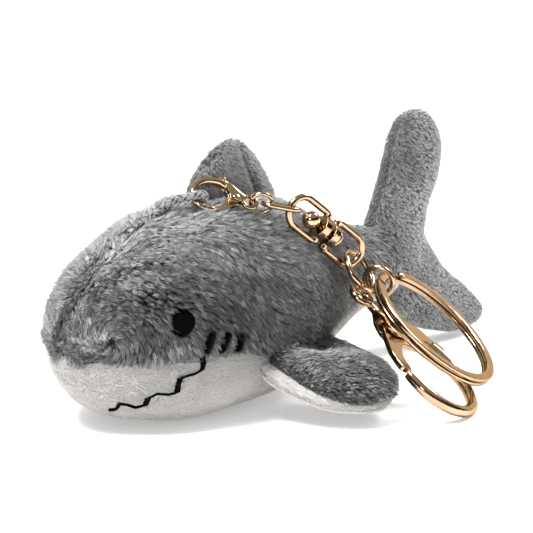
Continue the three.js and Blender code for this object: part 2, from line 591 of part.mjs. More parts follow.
add('dorsal_fin_left_panel', clearOfBody(finPanel(DORSAL, 12, -1, 8)), greyPlush());
add('dorsal_fin_right_panel', clearOfBody(finPanel(DORSAL, 12, 1, 8)), greyPlush());
add('dorsal_fin_stuffing', clearOfBody(finStuffing(DORSAL, 10)), filling());
add('tail_fin_left_panel', clearOfBody(finPanel(TAIL, 28, 1, 8)), greyPlush());
add('tail_fin_right_panel', clearOfBody(finPanel(TAIL, 28, -1, 8)), greyPlush());
add('tail_fin_stuffing', clearOfBody(finStuffing(TAIL, 24)), filling());

const pectoralTop = clearOfBody(finPanel(PECTORAL, 12, 1, 8));
const pectoralBottom = clearOfBody(finPanel(PECTORAL, 12, -1, 8));
const pectoralStuffing = clearOfBody(finStuffing(PECTORAL, 10));
for (const [side, flip] of [['left', (g) => g], ['right', mirrored]]) {
  add(`${side}_pectoral_top_panel`, flip(pectoralTop), greyPlush());
  add(`${side}_pectoral_bottom_panel`, flip(pectoralBottom), whitePlush());
  add(`${side}_pectoral_stuffing`, flip(pectoralStuffing), filling());
  add(`${side}_eye_embroidery`, flip(eyePatch()), blackThread());
  GILLS.forEach((ends, k) => {
    add(`${side}_gill_stitch_${k + 1}`, flip(threadLine(ends.map(onFlank))), blackThread());
  });
  add(`${side}_mouth_stitch`, flip(threadLine(MOUTH.map(onFlank))), blackThread());
}

add('cord_loop', cordSolid(CORD.diameter / 2), cordFabric());
const smallClasp = lobsterClasp(SMALL_CLASP, { x: 0.62, radius: 1.35, wire: 0.45 });
const largeClasp = lobsterClasp(LARGE_CLASP, { x: 0.6, radius: 2.1, wire: 0.75 });
function addRing(name, ring, steps, place) {
  add(name, placed(torus(ring.radius, ring.wire, 0, steps), place), champagne());
}

const clasps = [['small', smallClasp, PLACE.smallClasp], ['large', largeClasp, PLACE.largeClasp]];
for (const [size, clasp, place] of clasps) {
  add(`${size}_clasp_body`, placed(clasp.body, place), champagne());
  add(`${size}_clasp_lever`, placed(clasp.lever, place), champagne());
  add(`${size}_clasp_pin`, placed(clasp.pin, place), champagne());
}
addRing('small_jump_ring', SMALL_RING, 24, PLACE.smallRing);
add('oval_link', placed(ovalLink(), PLACE.ovalLink), champagne());
add('swivel_upper_frame', placed(swivelFrame(-1), PLACE.swivel), champagne());
add('swivel_lower_frame', placed(swivelFrame(1), PLACE.swivel), champagne());
add('swivel_rivet', placed(swivelRivet(), PLACE.swivel), champagne());
addRing('large_jump_ring', LARGE_RING, 36, PLACE.largeRing);
addRing('connector_ring', CONNECTOR_RING, 24, PLACE.connectorRing);
add('split_key_ring', placed(splitRing(), PLACE.splitRing), champagne());

export default group;
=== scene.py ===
from math import cos, pi, radians, sin

import bpy
import numpy as np
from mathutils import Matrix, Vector, kdtree


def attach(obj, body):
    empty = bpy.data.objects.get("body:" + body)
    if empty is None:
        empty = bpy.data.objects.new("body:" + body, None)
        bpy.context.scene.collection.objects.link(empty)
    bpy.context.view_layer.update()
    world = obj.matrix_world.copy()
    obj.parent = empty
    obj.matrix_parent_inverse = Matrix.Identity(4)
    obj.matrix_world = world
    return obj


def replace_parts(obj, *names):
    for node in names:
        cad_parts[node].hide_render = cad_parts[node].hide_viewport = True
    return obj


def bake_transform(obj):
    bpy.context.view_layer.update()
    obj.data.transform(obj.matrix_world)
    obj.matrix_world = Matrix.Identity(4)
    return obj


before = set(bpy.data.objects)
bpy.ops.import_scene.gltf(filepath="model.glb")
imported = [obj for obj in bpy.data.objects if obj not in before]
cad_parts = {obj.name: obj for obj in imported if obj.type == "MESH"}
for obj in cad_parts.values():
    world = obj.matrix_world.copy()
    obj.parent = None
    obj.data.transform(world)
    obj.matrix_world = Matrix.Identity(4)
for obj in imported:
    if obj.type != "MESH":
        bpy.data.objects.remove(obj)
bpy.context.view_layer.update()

MM = 0.001
REST_X = 22.0


def metres(points):
    return (np.asarray(points, float) + (REST_X, 0, 0)) * MM


# ---- camera
def linked(name, data):
    obj = bpy.data.objects.new(name, data)
    bpy.context.scene.collection.objects.link(obj)
    return obj


def look_at(obj, place, target):
    obj.location = place
    obj.rotation_euler = (Vector(target) - Vector(place)).to_track_quat("-Z", "Y").to_euler()


camera = linked("camera", bpy.data.cameras.new("camera"))
camera.data.sensor_width = 36.0
camera.data.lens = 128.33
camera.data.clip_start = 0.01
look_at(camera, metres((-263.3, -263.3, 99.76)), metres((0, 0, 24)))
bpy.context.scene.camera = camera


# ---- meshes from arrays
def make(name, verts, polys, mats, index=None):
    """A smooth mesh object from vertices in millimetres and a list of (n, sides) face arrays."""
    mesh = bpy.data.meshes.new(name)
    loops = np.concatenate([p.ravel() for p in polys]).astype(np.int32)
    sides = np.concatenate([np.full(len(p), p.shape[1]) for p in polys])
    mesh.vertices.add(len(verts))
    mesh.vertices.foreach_set("co", metres(verts).astype(np.float32).ravel())
    mesh.loops.add(len(loops))
    mesh.loops.foreach_set("vertex_index", loops)
    mesh.polygons.add(len(sides))
    mesh.polygons.foreach_set("loop_start", (np.cumsum(sides) - sides).astype(np.int32))
    for m in mats:
        mesh.materials.append(m)
    if index is not None:
        mesh.polygons.foreach_set("material_index", np.asarray(index, np.int32))
    mesh.update(calc_edges=True)
    mesh.polygons.foreach_set("use_smooth", np.ones(len(sides), bool))
    return linked(name, mesh)


def unit(v):
    return v / np.maximum(np.linalg.norm(v, axis=-1, keepdims=True), 1e-9)


def grid_quads(n, m, start=0, closed=False):
    """Quads between the rows of an n by m grid; closed joins each row's end to its start."""
    i, j = np.meshgrid(np.arange(n - 1), np.arange(m if closed else m - 1), indexing="ij")
    a, b = i * m + j, i * m + (j + 1) % m
    return start + np.stack([a, b, b + m, a + m], -1).reshape(-1, 4)


END_TAPER = 0.55


def tubes(paths, radius, sides=6):
    """Closed round tubes through each path of points (count, steps, 3), thinner at both ends."""
    paths = np.asarray(paths, float)
    count, steps = paths.shape[:2]
    run = unit(np.gradient(paths, axis=1))
    helper = np.where(np.abs(run[..., 2:]) > 0.8, (1.0, 0, 0), (0, 0, 1.0))
    a = unit(np.cross(run, helper))
    b = np.cross(run, a)
    turn = turns(sides)[:, None]
    r = np.full((count, steps, 1, 1), float(radius))
    r[:, [0, -1]] *= END_TAPER
    ring = paths[:, :, None] + r * (a[:, :, None] * np.cos(turn) + b[:, :, None] * np.sin(turn))
    per = steps * sides
    first = (per * np.arange(count))[:, None, None]
    quads = (first + grid_quads(steps, sides, closed=True)[None]).reshape(-1, 4)
    ends = np.stack([np.arange(sides)[::-1], per - sides + np.arange(sides)])[None] + first
    return ring.reshape(-1, 3), quads, ends.reshape(-1, sides)


def table(rows):
    """Smooth curve through rows [key, a, b, ...]; no overshoot between rows."""
    rows = np.array(rows, float)
    key, val = rows[:, 0], rows[:, 1:]
    rise = np.diff(val, axis=0) / np.diff(key)[:, None]
    slope = np.zeros_like(val)
    slope[0], slope[-1] = rise[0], rise[-1]
    before, after = rise[:-1], rise[1:]
    same = before * after > 0
    slope[1:-1] = np.where(same, 2 * before * after / np.where(same, before + after, 1), 0)

    def at(k):
        k = np.asarray(k, float)
        i = np.clip(np.searchsorted(key, k) - 1, 0, len(key) - 2)
        h = (key[i + 1] - key[i])[..., None]
        t = np.clip((k - key[i])[..., None] / h, 0, 1)
        return (val[i] * (2 * t**3 - 3 * t**2 + 1) + val[i + 1] * (3 * t**2 - 2 * t**3)
                + h * slope[i] * (t**3 - 2 * t**2 + t) + h * slope[i + 1] * (t**3 - t**2))
    return at


def kd_tree(points):
    tree = kdtree.KDTree(len(points))
    for k, p in enumerate(points):
        tree.insert(p, k)
    tree.balance()
    return tree


def at_points(value, points):
    return value(points) if callable(value) else value


def way_along(points):
    """Distance along a line of points."""
    return np.concatenate([[0], np.cumsum(np.linalg.norm(np.diff(points, axis=0), axis=1))])


def turns(count):
    return np.linspace(0, 2 * pi, count, endpoint=False)


def wobble(p, size, seed):
    """Smooth noise from -1 to 1 over points; size is the length of one swing in millimetres."""
    rng = np.random.default_rng(seed)
    total = np.zeros(len(p))
    for _ in range(6):
        k = rng.normal(size=3)
        k *= 2 * pi / (size * np.linalg.norm(k)) * rng.uniform(0.7, 1.4)
        total += np.sin(p @ k + rng.uniform(0, 2 * pi))
    return total / 3.2


# ---- materials
def principled(name, **values):
    mat = bpy.data.materials.new(name)
    mat.use_nodes = True
    shader = mat.node_tree.nodes["Principled BSDF"]
    for key, value in values.items():
        shader.inputs[key.replace("_", " ")].default_value = value
    return mat, mat.node_tree, shader


def texture(tree, scale, detail=4.0, stretch=(1, 1, 1), kind="Noise"):
    """A procedural texture in object space, scale in waves per metre."""
    place = tree.nodes.new("ShaderNodeTexCoord")
    mapping = tree.nodes.new("ShaderNodeMapping")
    mapping.inputs["Scale"].default_value = stretch
    tree.links.new(place.outputs["Object"], mapping.inputs["Vector"])
    node = tree.nodes.new("ShaderNodeTex" + kind)
    node.inputs["Scale"].default_value = scale
    if "Detail" in node.inputs:
        node.inputs["Detail"].default_value = detail
    tree.links.new(mapping.outputs["Vector"], node.inputs["Vector"])
    return node


def ramp(tree, source, stops, target, socket=0):
    """Colour stops over the source's value, into the target socket."""
    node = tree.nodes.new("ShaderNodeValToRGB")
    tree.links.new(source.outputs[socket], node.inputs["Fac"])
    while len(node.color_ramp.elements) < len(stops):
        node.color_ramp.elements.new(0.5)
    for element, (at, colour) in zip(node.color_ramp.elements, stops):
        element.position = at
        element.color = (*colour, 1)
    tree.links.new(node.outputs[0], target)


def bump(tree, shader, source, strength, distance):
    node = tree.nodes.new("ShaderNodeBump")
    node.inputs["Strength"].default_value = strength
    node.inputs["Distance"].default_value = distance
    tree.links.new(source.outputs[0], node.inputs["Height"])
    tree.links.new(node.outputs["Normal"], shader.inputs["Normal"])


def plush_backing(name, dark, light):
    """Knitted backing between the roots of the pile."""
    mat, tree, shader = principled(name, Roughness=0.95, Sheen_Weight=0.2)
    ramp(tree, texture(tree, 900), [(0.35, dark), (0.65, light)], shader.inputs["Base Color"])
    bump(tree, shader, texture(tree, 2600, kind="Voronoi"), 0.7, 0.0003)
    return mat


def fibres(name, tones, tint, sheen):
    return [principled(f"{name}_{k}", Base_Color=(*(tone * np.array(tint)), 1), Roughness=0.5,
                       Specular_IOR_Level=0.35, Sheen_Weight=sheen, Sheen_Roughness=0.35)[0]
            for k, tone in enumerate(tones)]


def plated_metal(name):
    mat, tree, shader = principled(name, Metallic=1.0, Specular_Tint=(0.62, 0.47, 0.36, 1))
    ramp(tree, texture(tree, 260, 3), [(0.3, (0.40, 0.285, 0.178)), (0.7, (0.52, 0.375, 0.24))],
         shader.inputs["Base Color"])
    ramp(tree, texture(tree, 700, 6), [(0.3, (0.09,) * 3), (0.75, (0.2,) * 3)], shader.inputs["Roughness"])
    bump(tree, shader, texture(tree, 450, 5, stretch=(1, 0.3, 1)), 0.3, 0.0003)
    return mat


def thread(name, colour, roughness, gloss=0.5):
    mat, tree, shader = principled(name, Roughness=roughness, Specular_IOR_Level=gloss)
    noise = texture(tree, 3500, 3)
    ramp(tree, noise, [(0.3, tuple(0.6 * np.array(colour))), (0.7, colour)], shader.inputs["Base Color"])
    bump(tree, shader, noise, 0.5, 0.0001)
    return mat


GREY, WHITE = (0.97, 1.0, 0.985), (1.0, 0.975, 0.945)
# The backings are darker than the fibre tips: their colour is painted shade deep in the pile, between the
# fibres.
GREY_BACKING_PAINTED_SHADE = plush_backing("grey_backing_painted_shade", (0.05, 0.052, 0.05), (0.11, 0.115, 0.112))
WHITE_BACKING_PAINTED_SHADE = plush_backing("white_backing_painted_shade", (0.62, 0.605, 0.585), (0.72, 0.705, 0.685))
FILLING = plush_backing("fibre_filling", (0.6, 0.59, 0.57), (0.75, 0.74, 0.72))
# The root halves of the fibres are darker than the tips: painted shade deep in the pile.
GREY_ROOTS_PAINTED_SHADE = fibres("grey_root_painted_shade", (0.05, 0.08), GREY, 0.0)
GREY_TIPS = fibres("grey_tip", (0.09, 0.155, 0.25, 0.39, 0.58), GREY, 0.35)
SHORT_ROOTS_PAINTED_SHADE = fibres("short_root_painted_shade", (0.15, 0.19), GREY, 0.0)
SHORT_TIPS = fibres("short_tip", (0.25, 0.31, 0.37, 0.44, 0.52), GREY, 0.35)
WHITE_ROOTS_PAINTED_SHADE = fibres("white_root_painted_shade", (0.66, 0.70), WHITE, 0.0)
WHITE_TIPS = fibres("white_tip", (0.71, 0.735, 0.76, 0.785, 0.81), WHITE, 0.1)
METAL = plated_metal("champagne_plate")
BLACK = thread("black_thread", (0.002, 0.002, 0.002), 0.7, 0.03)
SILVER = thread("silver_yarn", (0.44, 0.43, 0.43), 0.35)
PEWTER = thread("grey_yarn", (0.07, 0.065, 0.065), 0.45)


# ---- cord loop
CORD_DIAMETER = 1.7
CORD_POINTS = [
    [-30.85, 0, 30.3], [-30.85, 0, 34.3], [-30.8, 0, 37.5], [-26.32, -1.11, 39.14], [-22.3, -3.61, 39.81],
    [-21.76, -4.25, 40.29], [-21.7, -4.97, 40.91], [-22.12, -5.58, 41.52], [-22.9, -5.92, 41.94],
    [-23.85, -5.9, 42.07], [-24.71, -5.52, 41.87], [-28.13, -2.54, 40.69], [-28.6, 0, 37.5],
    [-28.55, 0, 34.3], [-28.55, 0, 30.3]]
YARNS_PER_WAY, BRAID_PITCH, YARN_RADIUS, WEAVE = 8, 4.2, 0.15, 0.08
DARK_YARNS = {1, 4, 7, 10, 13}


def smooth_line(points, steps):
    """Centripetal Catmull-Rom curve through the points, evenly spaced."""
    p = np.array(points, float)
    p = np.concatenate([[2 * p[0] - p[1]], p, [2 * p[-1] - p[-2]]])
    knots = np.concatenate([[0], np.cumsum(np.linalg.norm(np.diff(p, axis=0), axis=1) ** 0.5)])
    out = []
    for k in range(1, len(p) - 2):
        t = np.linspace(knots[k], knots[k + 1], 24, endpoint=False)[:, None]
        mix = lambda a, b, i, j: ((knots[j] - t) * a + (t - knots[i]) * b) / (knots[j] - knots[i])
        a1, a2, a3 = (mix(p[i], p[i + 1], i, i + 1) for i in (k - 1, k, k + 1))
        out.append(mix(mix(a1, a2, k - 1, k + 1), mix(a2, a3, k, k + 2), k, k + 1))
    line = np.concatenate(out + [p[-2:-1]])
    along = way_along(line)
    s = np.linspace(0, along[-1], steps)
    return np.stack([np.interp(s, along, line[:, c]) for c in range(3)], -1), along[-1]


def carried_frames(line):
    """Two directions across the line at each point, carried along without twist."""
    run = unit(np.gradient(line, axis=0))
    a = unit(np.cross(run[0], (0.3, 0.9, 0.1)))
    aside = []
    for r in run:
        a = unit(a - r * np.dot(a, r))
        aside.append(a)
    return np.array(aside), np.cross(run, aside)


def braid(line, length):
    """Round yarns that turn both ways about the line, over and under one another, around a core in the dark
    yarn colour, which paints shade in the gaps between the yarns.
    """
    a, b = carried_frames(line)
    s = np.linspace(0, length, len(line))
    yarns = []
    for k in range(YARNS_PER_WAY):
        for way in (1, -1):
            turn = 2 * pi * (k / YARNS_PER_WAY + way * s / BRAID_PITCH)
            r = (CORD_DIAMETER / 2 - YARN_RADIUS - WEAVE
                 + way * WEAVE * np.cos(2 * pi * YARNS_PER_WAY * s / BRAID_PITCH))
            yarns.append(line + r[:, None] * (a * np.cos(turn)[:, None] + b * np.sin(turn)[:, None]))
    verts, quads, ends = tubes(yarns, YARN_RADIUS)
    # The core shows in the gaps between the yarns: its dark colour is painted shade.
    core, core_quads, core_ends = tubes([line], CORD_DIAMETER / 2 - 0.36, 12)
    dark = [int(k in DARK_YARNS) for k in range(len(yarns))]
    index = np.concatenate([np.repeat(dark, len(quads) // len(yarns)), [1] * len(core_quads),
                            np.repeat(dark, 2), [1, 1]])
    return make("braided_cord_loop", np.concatenate([verts, core]),
                [np.concatenate([quads, core_quads + len(verts)]), ends, core_ends + len(verts)],
                [SILVER, PEWTER], index)


cord_line, cord_length = smooth_line(CORD_POINTS, 480)
cord = braid(cord_line, cord_length)
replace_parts(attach(cord, "plush_body"), "cord_loop")
CORD_TREE = kd_tree(cord_line)


# ---- body surface, at the tips of the pile
# Rows of x, half width, z of belly, back and widest line, roundness above and below it
BODY = table([
    [-53.2, 0.6, 14, 17.2, 15.4, 2, 2], [-52.4, 4.6, 10.2, 20.6, 15.4, 2, 1.9],
    [-50.2, 8.2, 7.4, 24.8, 15.4, 2, 1.9], [-46.3, 12, 3.6, 29.6, 15.4, 1.95, 2.2],
    [-40, 15.6, 1, 34.2, 15.6, 1.92, 2.7], [-31, 18.4, 0, 38, 16.6, 1.92, 3.3],
    [-21, 19.4, 0, 40.3, 17.6, 1.95, 3], [-10, 18.8, 0.2, 40.4, 18.2, 2, 2.7],
    [0, 16.9, 2, 38, 18.8, 2.05, 2.3], [10, 13.8, 6, 34, 19.2, 2.1, 2.1],
    [20, 10.4, 10.2, 30.8, 19.8, 2.1, 2.1], [28, 8.2, 12, 29.2, 20.2, 2.1, 2.1],
    [34, 7.2, 12.4, 28.6, 20.4, 2.1, 2.1]])
BELLY_SEAM = table([
    [-53.2, 0.5], [-51, 0.18], [-48, 0.13], [-42, 0.1], [-36, 0.08], [-30, 0.13], [-22, 0.22], [-14, 0.36],
    [-6, 0.42], [10, 0.34], [22, 0.32], [34, 0.4]])
NOSE, BODY_END, REAR = -53.2, 34.0, 37.5
FLOOR_GAP = 0.06


def body_point(x, angle):
    """Angle 0 is the left widest line, 90 degrees the back, -90 degrees the belly."""
    w, zb, zt, zm, above, below = np.moveaxis(BODY(x), -1, 0)
    c, s = np.cos(angle), np.sin(angle)
    power, height = np.where(s > 0, above, below), np.where(s > 0, zt - zm, zm - zb)
    close = np.sqrt(np.clip(1 - ((x - BODY_END) / (REAR - BODY_END + 0.2)).clip(0) ** 2, 0, 1))
    return np.stack([x + 0 * c, -close * w * np.sign(c) * np.abs(c) ** (2 / power),
                     zm + close * height * np.sign(s) * np.abs(s) ** (2 / power)], -1)


def seam_angle(x):
    return np.arcsin(BELLY_SEAM(x)[..., 0] ** (BODY(x)[..., 5] / 2))


def depth_in_body(p):
    """How far below the body's surface, in millimetres, positive inside; a close guess."""
    w, zb, zt, zm, above, below = np.moveaxis(BODY(p[:, 0]), -1, 0)
    dz = p[:, 2] - zm
    power, height = np.where(dz > 0, above, below), np.where(dz > 0, zt - zm, zm - zb)
    v = ((np.abs(p[:, 1]) / w) ** power + (np.abs(dz) / height) ** power) ** (1 / power)
    gap = np.hypot(p[:, 1], dz) * (1 / np.maximum(v, 1e-3) - 1)
    return np.minimum(gap, np.minimum(p[:, 0] - NOSE, BODY_END - p[:, 0]))


def flank_angle(x, z):
    w, zb, zt, zm, above, below = BODY(x)
    f = ((z - zm) / (zt - zm)) ** (above / 2) if z > zm else -(((zm - z) / (zm - zb)) ** (below / 2))
    return float(np.arcsin(np.clip(f, -1, 1)))


class Patch:
    """A grid of points with outward normals and the distance of each point to the nearest seam."""

    def __init__(self, points, normals, edge):
        self.p, self.n, self.edge = points, normals, edge

    def rows(self, rows):
        return Patch(self.p[rows], self.n[rows], self.edge[rows])

    def sunk(self, depth):
        """The points moved inwards."""
        return self.p - self.n * depth[..., None]


def patch_of(points, outward):
    n = unit(np.cross(np.gradient(points, axis=0), np.gradient(points, axis=1)))
    n *= np.sign(np.sum(n * outward))
    run = np.linalg.norm(np.diff(points, axis=1), axis=-1)
    along = np.concatenate([np.zeros((len(run), 1)), np.cumsum(run, 1)], 1)
    return Patch(points, n, np.minimum(along, along[:, -1:] - along))


def middle_of(x):
    """Points in the middle of the body, at the height of its widest line."""
    return np.stack([x[:, 0], 0 * x[:, 0], BODY(x[:, 0])[:, 3]], -1)[:, None]


def body_patch(low, high, rows, columns):
    x = (NOSE + (REAR - NOSE) * np.linspace(0, 1, rows) ** 1.3)[:, None]
    t = np.linspace(0, 1, columns)[None]
    lo, hi = low(x), high(x)
    points = body_point(x + 0 * t, lo + (hi - lo) * t)
    return patch_of(points, points - middle_of(x))


def cloth(name, patch, outer, thickness, material):
    """A closed piece of cloth: the outer grid, and the same grid moved inwards."""
    n, m = outer.shape[:2]
    verts = np.concatenate([outer.reshape(-1, 3), (outer - patch.n * thickness).reshape(-1, 3)])
    size = n * m
    ring = np.concatenate([np.arange(m), np.arange(1, n) * m + m - 1, (n - 1) * m + np.arange(m - 2, -1, -1),
                           np.arange(n - 2, 0, -1) * m])
    side = np.stack([ring, ring + size, np.roll(ring, -1) + size, np.roll(ring, -1)], -1)
    return make(name, verts, [grid_quads(n, m), grid_quads(n, m, size)[:, ::-1], side], [material])


def pile(name, patch, skin, count, length, lean, comb, roots, tips, seed, keep, clear=None, width=0.07,
         tuft=0.8, clump=0.7, tone=0.0, fray=0.16, grain=0.13):
    """Short fibres that stand on a patch of skin, lean along comb and draw together in tufts."""
    rng = np.random.default_rng(seed)
    corners = [skin[:-1, :-1], skin[1:, :-1], skin[1:, 1:], skin[:-1, 1:]]
    area = np.linalg.norm(np.cross(corners[2] - corners[0], corners[3] - corners[1]), axis=-1)
    cell = rng.choice(area.size, count, p=(area / area.sum()).ravel())
    i, j = np.unravel_index(cell, area.shape)
    a, b = rng.random((2, count, 1))

    def sample(g):
        g = g if g.ndim == 3 else g[..., None]
        low, high = (g[i, k] * (1 - a) + g[i + 1, k] * a for k in (j, j + 1))
        return low * (1 - b) + high * b

    root, normal, edge = sample(skin), unit(sample(patch.n)), sample(patch.edge)[:, 0]
    stay = keep(root)
    root, normal, edge = root[stay], unit(normal[stay]), edge[stay]
    way = comb(root, normal) + fray * rng.normal(size=root.shape)
    way = unit(way - normal * np.sum(way * normal, -1, keepdims=True))
    tall = (at_points(length, root) * rng.uniform(0.8, 1.12, len(root))
            * (0.5 + 0.5 * np.clip(edge / 2.0, 0, 1)))
    tilt = np.radians(at_points(lean, root) + 9 * wobble(root, 4.5, seed + 9)
                      + 5 * rng.normal(size=len(root)))

    def half_fibre(bend):
        up, aside = np.cos(tilt * bend)[:, None], np.sin(tilt * bend)[:, None]
        return (normal * up + way * aside) * tall[:, None] / 2

    middle = root + half_fibre(0.65)
    tip = middle + half_fibre(1.2)

    heads = rng.choice(len(root), min(len(root) // 3, int(area.sum() / 2 / tuft**2)), replace=False)
    nearest = kd_tree(tip[heads])
    lock = np.array([nearest.find(p)[1] for p in tip])
    aim = tip[heads] + 0.22 * tuft * rng.normal(size=(len(heads), 3))
    off = aim[lock] - tip
    off *= np.minimum(1, 1.6 * tuft / np.maximum(np.linalg.norm(off, axis=-1, keepdims=True), 1e-6))
    pull = clump * rng.uniform(0.6, 1.3, (len(root), 1))
    tip, middle = tip + off * pull, middle + off * pull * 0.4
    shade = 0.5 + 0.13 * wobble(root, 8, seed + 1) + grain * rng.normal(size=len(root))
    # tone is added to each fibre's colour class; on the body and the pectoral fins it paints light and shade.
    shade += grain * rng.normal(size=len(heads))[lock] + at_points(tone, root)
    # Painted shade: fibres near a seam are darker, as if shaded in the seam's valley.
    shade -= 0.2 * np.exp(-(edge / 1.0) ** 2)
    if clear is not None:
        stay = clear(root) & clear(middle) & clear(tip) & clear((middle + tip) / 2)
        root, middle, tip, normal, way, shade = (v[stay] for v in (root, middle, tip, normal, way, shade))
    for p in (middle, tip):
        p[:, 2] = np.maximum(p[:, 2], FLOOR_GAP)

    count = len(root)
    across = unit(np.cross(way, normal))
    ring = [across, unit(-0.5 * across + 0.87 * normal), unit(-0.5 * across - 0.87 * normal)]
    w = width * rng.uniform(0.75, 1.25, (count, 1))
    verts = np.stack([root + w * v for v in ring] + [middle + 0.85 * w * v for v in ring] + [tip], 1)
    first = verts.shape[1] * np.arange(count)[:, None]
    base = first + [0, 2, 1]
    low = np.stack([first + [k, (k + 1) % 3, 3 + (k + 1) % 3, 3 + k] for k in range(3)], 1)
    high = np.stack([first + [3 + k, 3 + (k + 1) % 3, 6] for k in range(3)], 1)
    # Root faces take a root colour, which is painted shade deep in the pile; tip faces take a tip colour.
    light = len(roots) + np.clip((shade * len(tips)).astype(int), 0, len(tips) - 1)
    dark = np.clip((shade * len(roots)).astype(int), 0, len(roots) - 1)
    index = np.concatenate([dark, np.repeat(dark, 3), np.repeat(light, 3)])
    polys = [base, low.reshape(-1, 4), high.reshape(-1, 3)]
    return make(name, verts.reshape(-1, 3), polys, roots + tips, index)


# ---- body
EYE_X, EYE_Z, EYE_LENGTH, EYE_HEIGHT = -37.1, 21.4, 2.1, 2.35
EYE_POINT = body_point(np.array(EYE_X), np.array(flank_angle(EYE_X, EYE_Z)))
WHORL = np.array([-48.2, -10.2, 18.3])


def left_of(p):
    """The same point on the left flank."""
    return np.stack([p[..., 0], -np.abs(p[..., 1]), p[..., 2]], -1)


GILLS = [[[-32.4, 18.6], [-33.4, 15.7]], [[-29.0, 18.2], [-30.1, 15.2]], [[-25.9, 17.7], [-26.6, 14.9]]]
MOUTH = [
    [-34, 14.7], [-33.9, 13.3], [-34.1, 12.3], [-35.6, 11.6], [-38.1, 11.2], [-38.4, 9.9], [-38.4, 8.4],
    [-39.6, 8], [-41.8, 8.4], [-42.9, 7.5], [-42.8, 6.1], [-43.9, 5.5], [-45.4, 6.2], [-46.2, 6.3],
    [-45.8, 4.9], [-46.3, 4.6]]


def stitched_line(rows, step):
    """Points (x, angle) on the left flank, evenly spaced along straight runs between rows of (x, z)."""
    rows = np.array([(x, flank_angle(x, z)) for x, z in rows])
    p = body_point(rows[:, 0], rows[:, 1])
    along = way_along(p)
    s = np.arange(0, along[-1], step)
    return np.interp(s, along, rows[:, 0]), np.interp(s, along, rows[:, 1])


GILL_ROOM, MOUTH_ROOM = 1.05, 0.35
STITCHES_X, STITCHES_TOP = (-48, -24), 20
CORD_X, CORD_BOTTOM = (-28.8, -19), 36.5
STITCHED = [body_point(*stitched_line(stitches, 0.2)) for stitches in (*GILLS, MOUTH)]
STITCH_ROOM = np.repeat([GILL_ROOM] * len(GILLS) + [MOUTH_ROOM], [len(points) for points in STITCHED])
STITCH_TREE = kd_tree(np.concatenate(STITCHED))


def between(p, front, rear):
    return (p[:, 0] > front) & (p[:, 0] < rear)


def off_the_stitches(p):
    """True where no embroidery and no cord lies."""
    q = left_of(p)
    off_eye = ((q[:, 0] - EYE_X) / EYE_LENGTH) ** 2 + ((q[:, 2] - EYE_Z) / EYE_HEIGHT) ** 2 > 0.9
    off_line = np.ones(len(q), bool)
    for k in np.flatnonzero(between(q, *STITCHES_X) & (q[:, 2] < STITCHES_TOP)):
        _, stitch, distance = STITCH_TREE.find(q[k])
        off_line[k] = distance > STITCH_ROOM[stitch]
    for k in np.flatnonzero(between(p, *CORD_X) & (p[:, 2] > CORD_BOTTOM)):
        off_line[k] = CORD_TREE.find(p[k])[2] > CORD_DIAMETER / 2
    return off_eye & off_line


def in_front_of_tail(p):
    return p[:, 0] < BODY_END - 1


def spot(q, place, size):
    return np.exp(-np.sum((q - place) ** 2, -1) / size**2)


def upright_pile_and_painted_shade(p):
    """1 where the pile stands up and shows more of its roots, whose dark colour is painted shade: brow,
    behind the eye, low on the flank. The body's tone also paints shade here.
    """
    q = left_of(p)
    return np.clip(spot(q, (-41.7, -12, 25.6), 6.5) + spot(q, (-31, -17.5, 23), 6.5)
                   + spot(q, (-18, -19, 17), 9) + 0.8 * spot(q, (-4, -17, 14), 9), 0, 1)


def body_depth(patch):
    """How far the cloth lies below the tips of the pile: deeper at the seams and round the eye."""
    p = left_of(patch.p)
    snout = np.clip((-33 - p[..., 0]) / 6, 0.25, 1)
    return (1.2 + 0.9 * snout * np.exp(-(patch.edge / 1.4) ** 2) + 0.8 * spot(p, EYE_POINT, 3.2)
            + 0.22 * wobble(p.reshape(-1, 3), 16, 5).reshape(p.shape[:2]))


def comb_body(p, n):
    """Pile lies back on top and down on the flank, and turns round the whorl on the cheek."""
    side = np.where(p[:, 1:2] > 0, 1.0, -1.0)
    q = left_of(p)
    top = np.clip((q[:, 2] - 24) / 12, 0, 1)
    way = np.stack([0.3 + 0.6 * top + 0.35 * wobble(q, 23, 11), -0.25 + 0.4 * wobble(q, 17, 12),
                    -0.95 + 0.4 * top + 0.35 * wobble(q, 19, 13)], -1)
    off = q - WHORL
    far = np.linalg.norm(off, axis=-1, keepdims=True)
    near = np.exp(-((far / 9.5) ** 2))
    turned = np.concatenate([np.ones_like(side), -side, np.ones_like(side)], -1)
    return (way * (1 - 0.8 * near) - np.cross(n * turned, off) / (far + 3) * near * 1.9) * turned


def body_length(p):
    """The pile gets shorter towards the tail."""
    return 3.0 - 1.3 * np.clip((p[:, 0] + 6) / 34, 0, 1)


def body_lean(p):
    return 57 - 22 * upright_pile_and_painted_shade(p)


def body_painted_light_and_shade(p):
    """Painted light and shade in the pile's tone: lighter on the back and the top of the snout, painted light
    from above; darker from the gills back; lighter towards the tail root; painted shade where the pile stands
    up.
    """
    front = np.clip((-33 - p[:, 0]) / 8, 0, 1) * np.clip((p[:, 2] - 21) / 5, 0, 1)
    rear = np.clip((p[:, 0] + 30) / 12, 0, 1)
    tail = np.clip((p[:, 0] - 12) / 20, 0, 1)
    return (0.34 * np.clip((p[:, 2] - 26) / 9, 0, 1) + 0.2 * front - 0.14 * rear + 0.25 * tail - 0.15
            - 0.17 * upright_pile_and_painted_shade(p))


LEFT = (lambda x: -seam_angle(x), lambda x: 0 * x + pi / 2)
RIGHT = (lambda x: 0 * x + pi / 2, lambda x: pi + seam_angle(x))
BELLY = (lambda x: -pi + seam_angle(x), lambda x: -seam_angle(x))


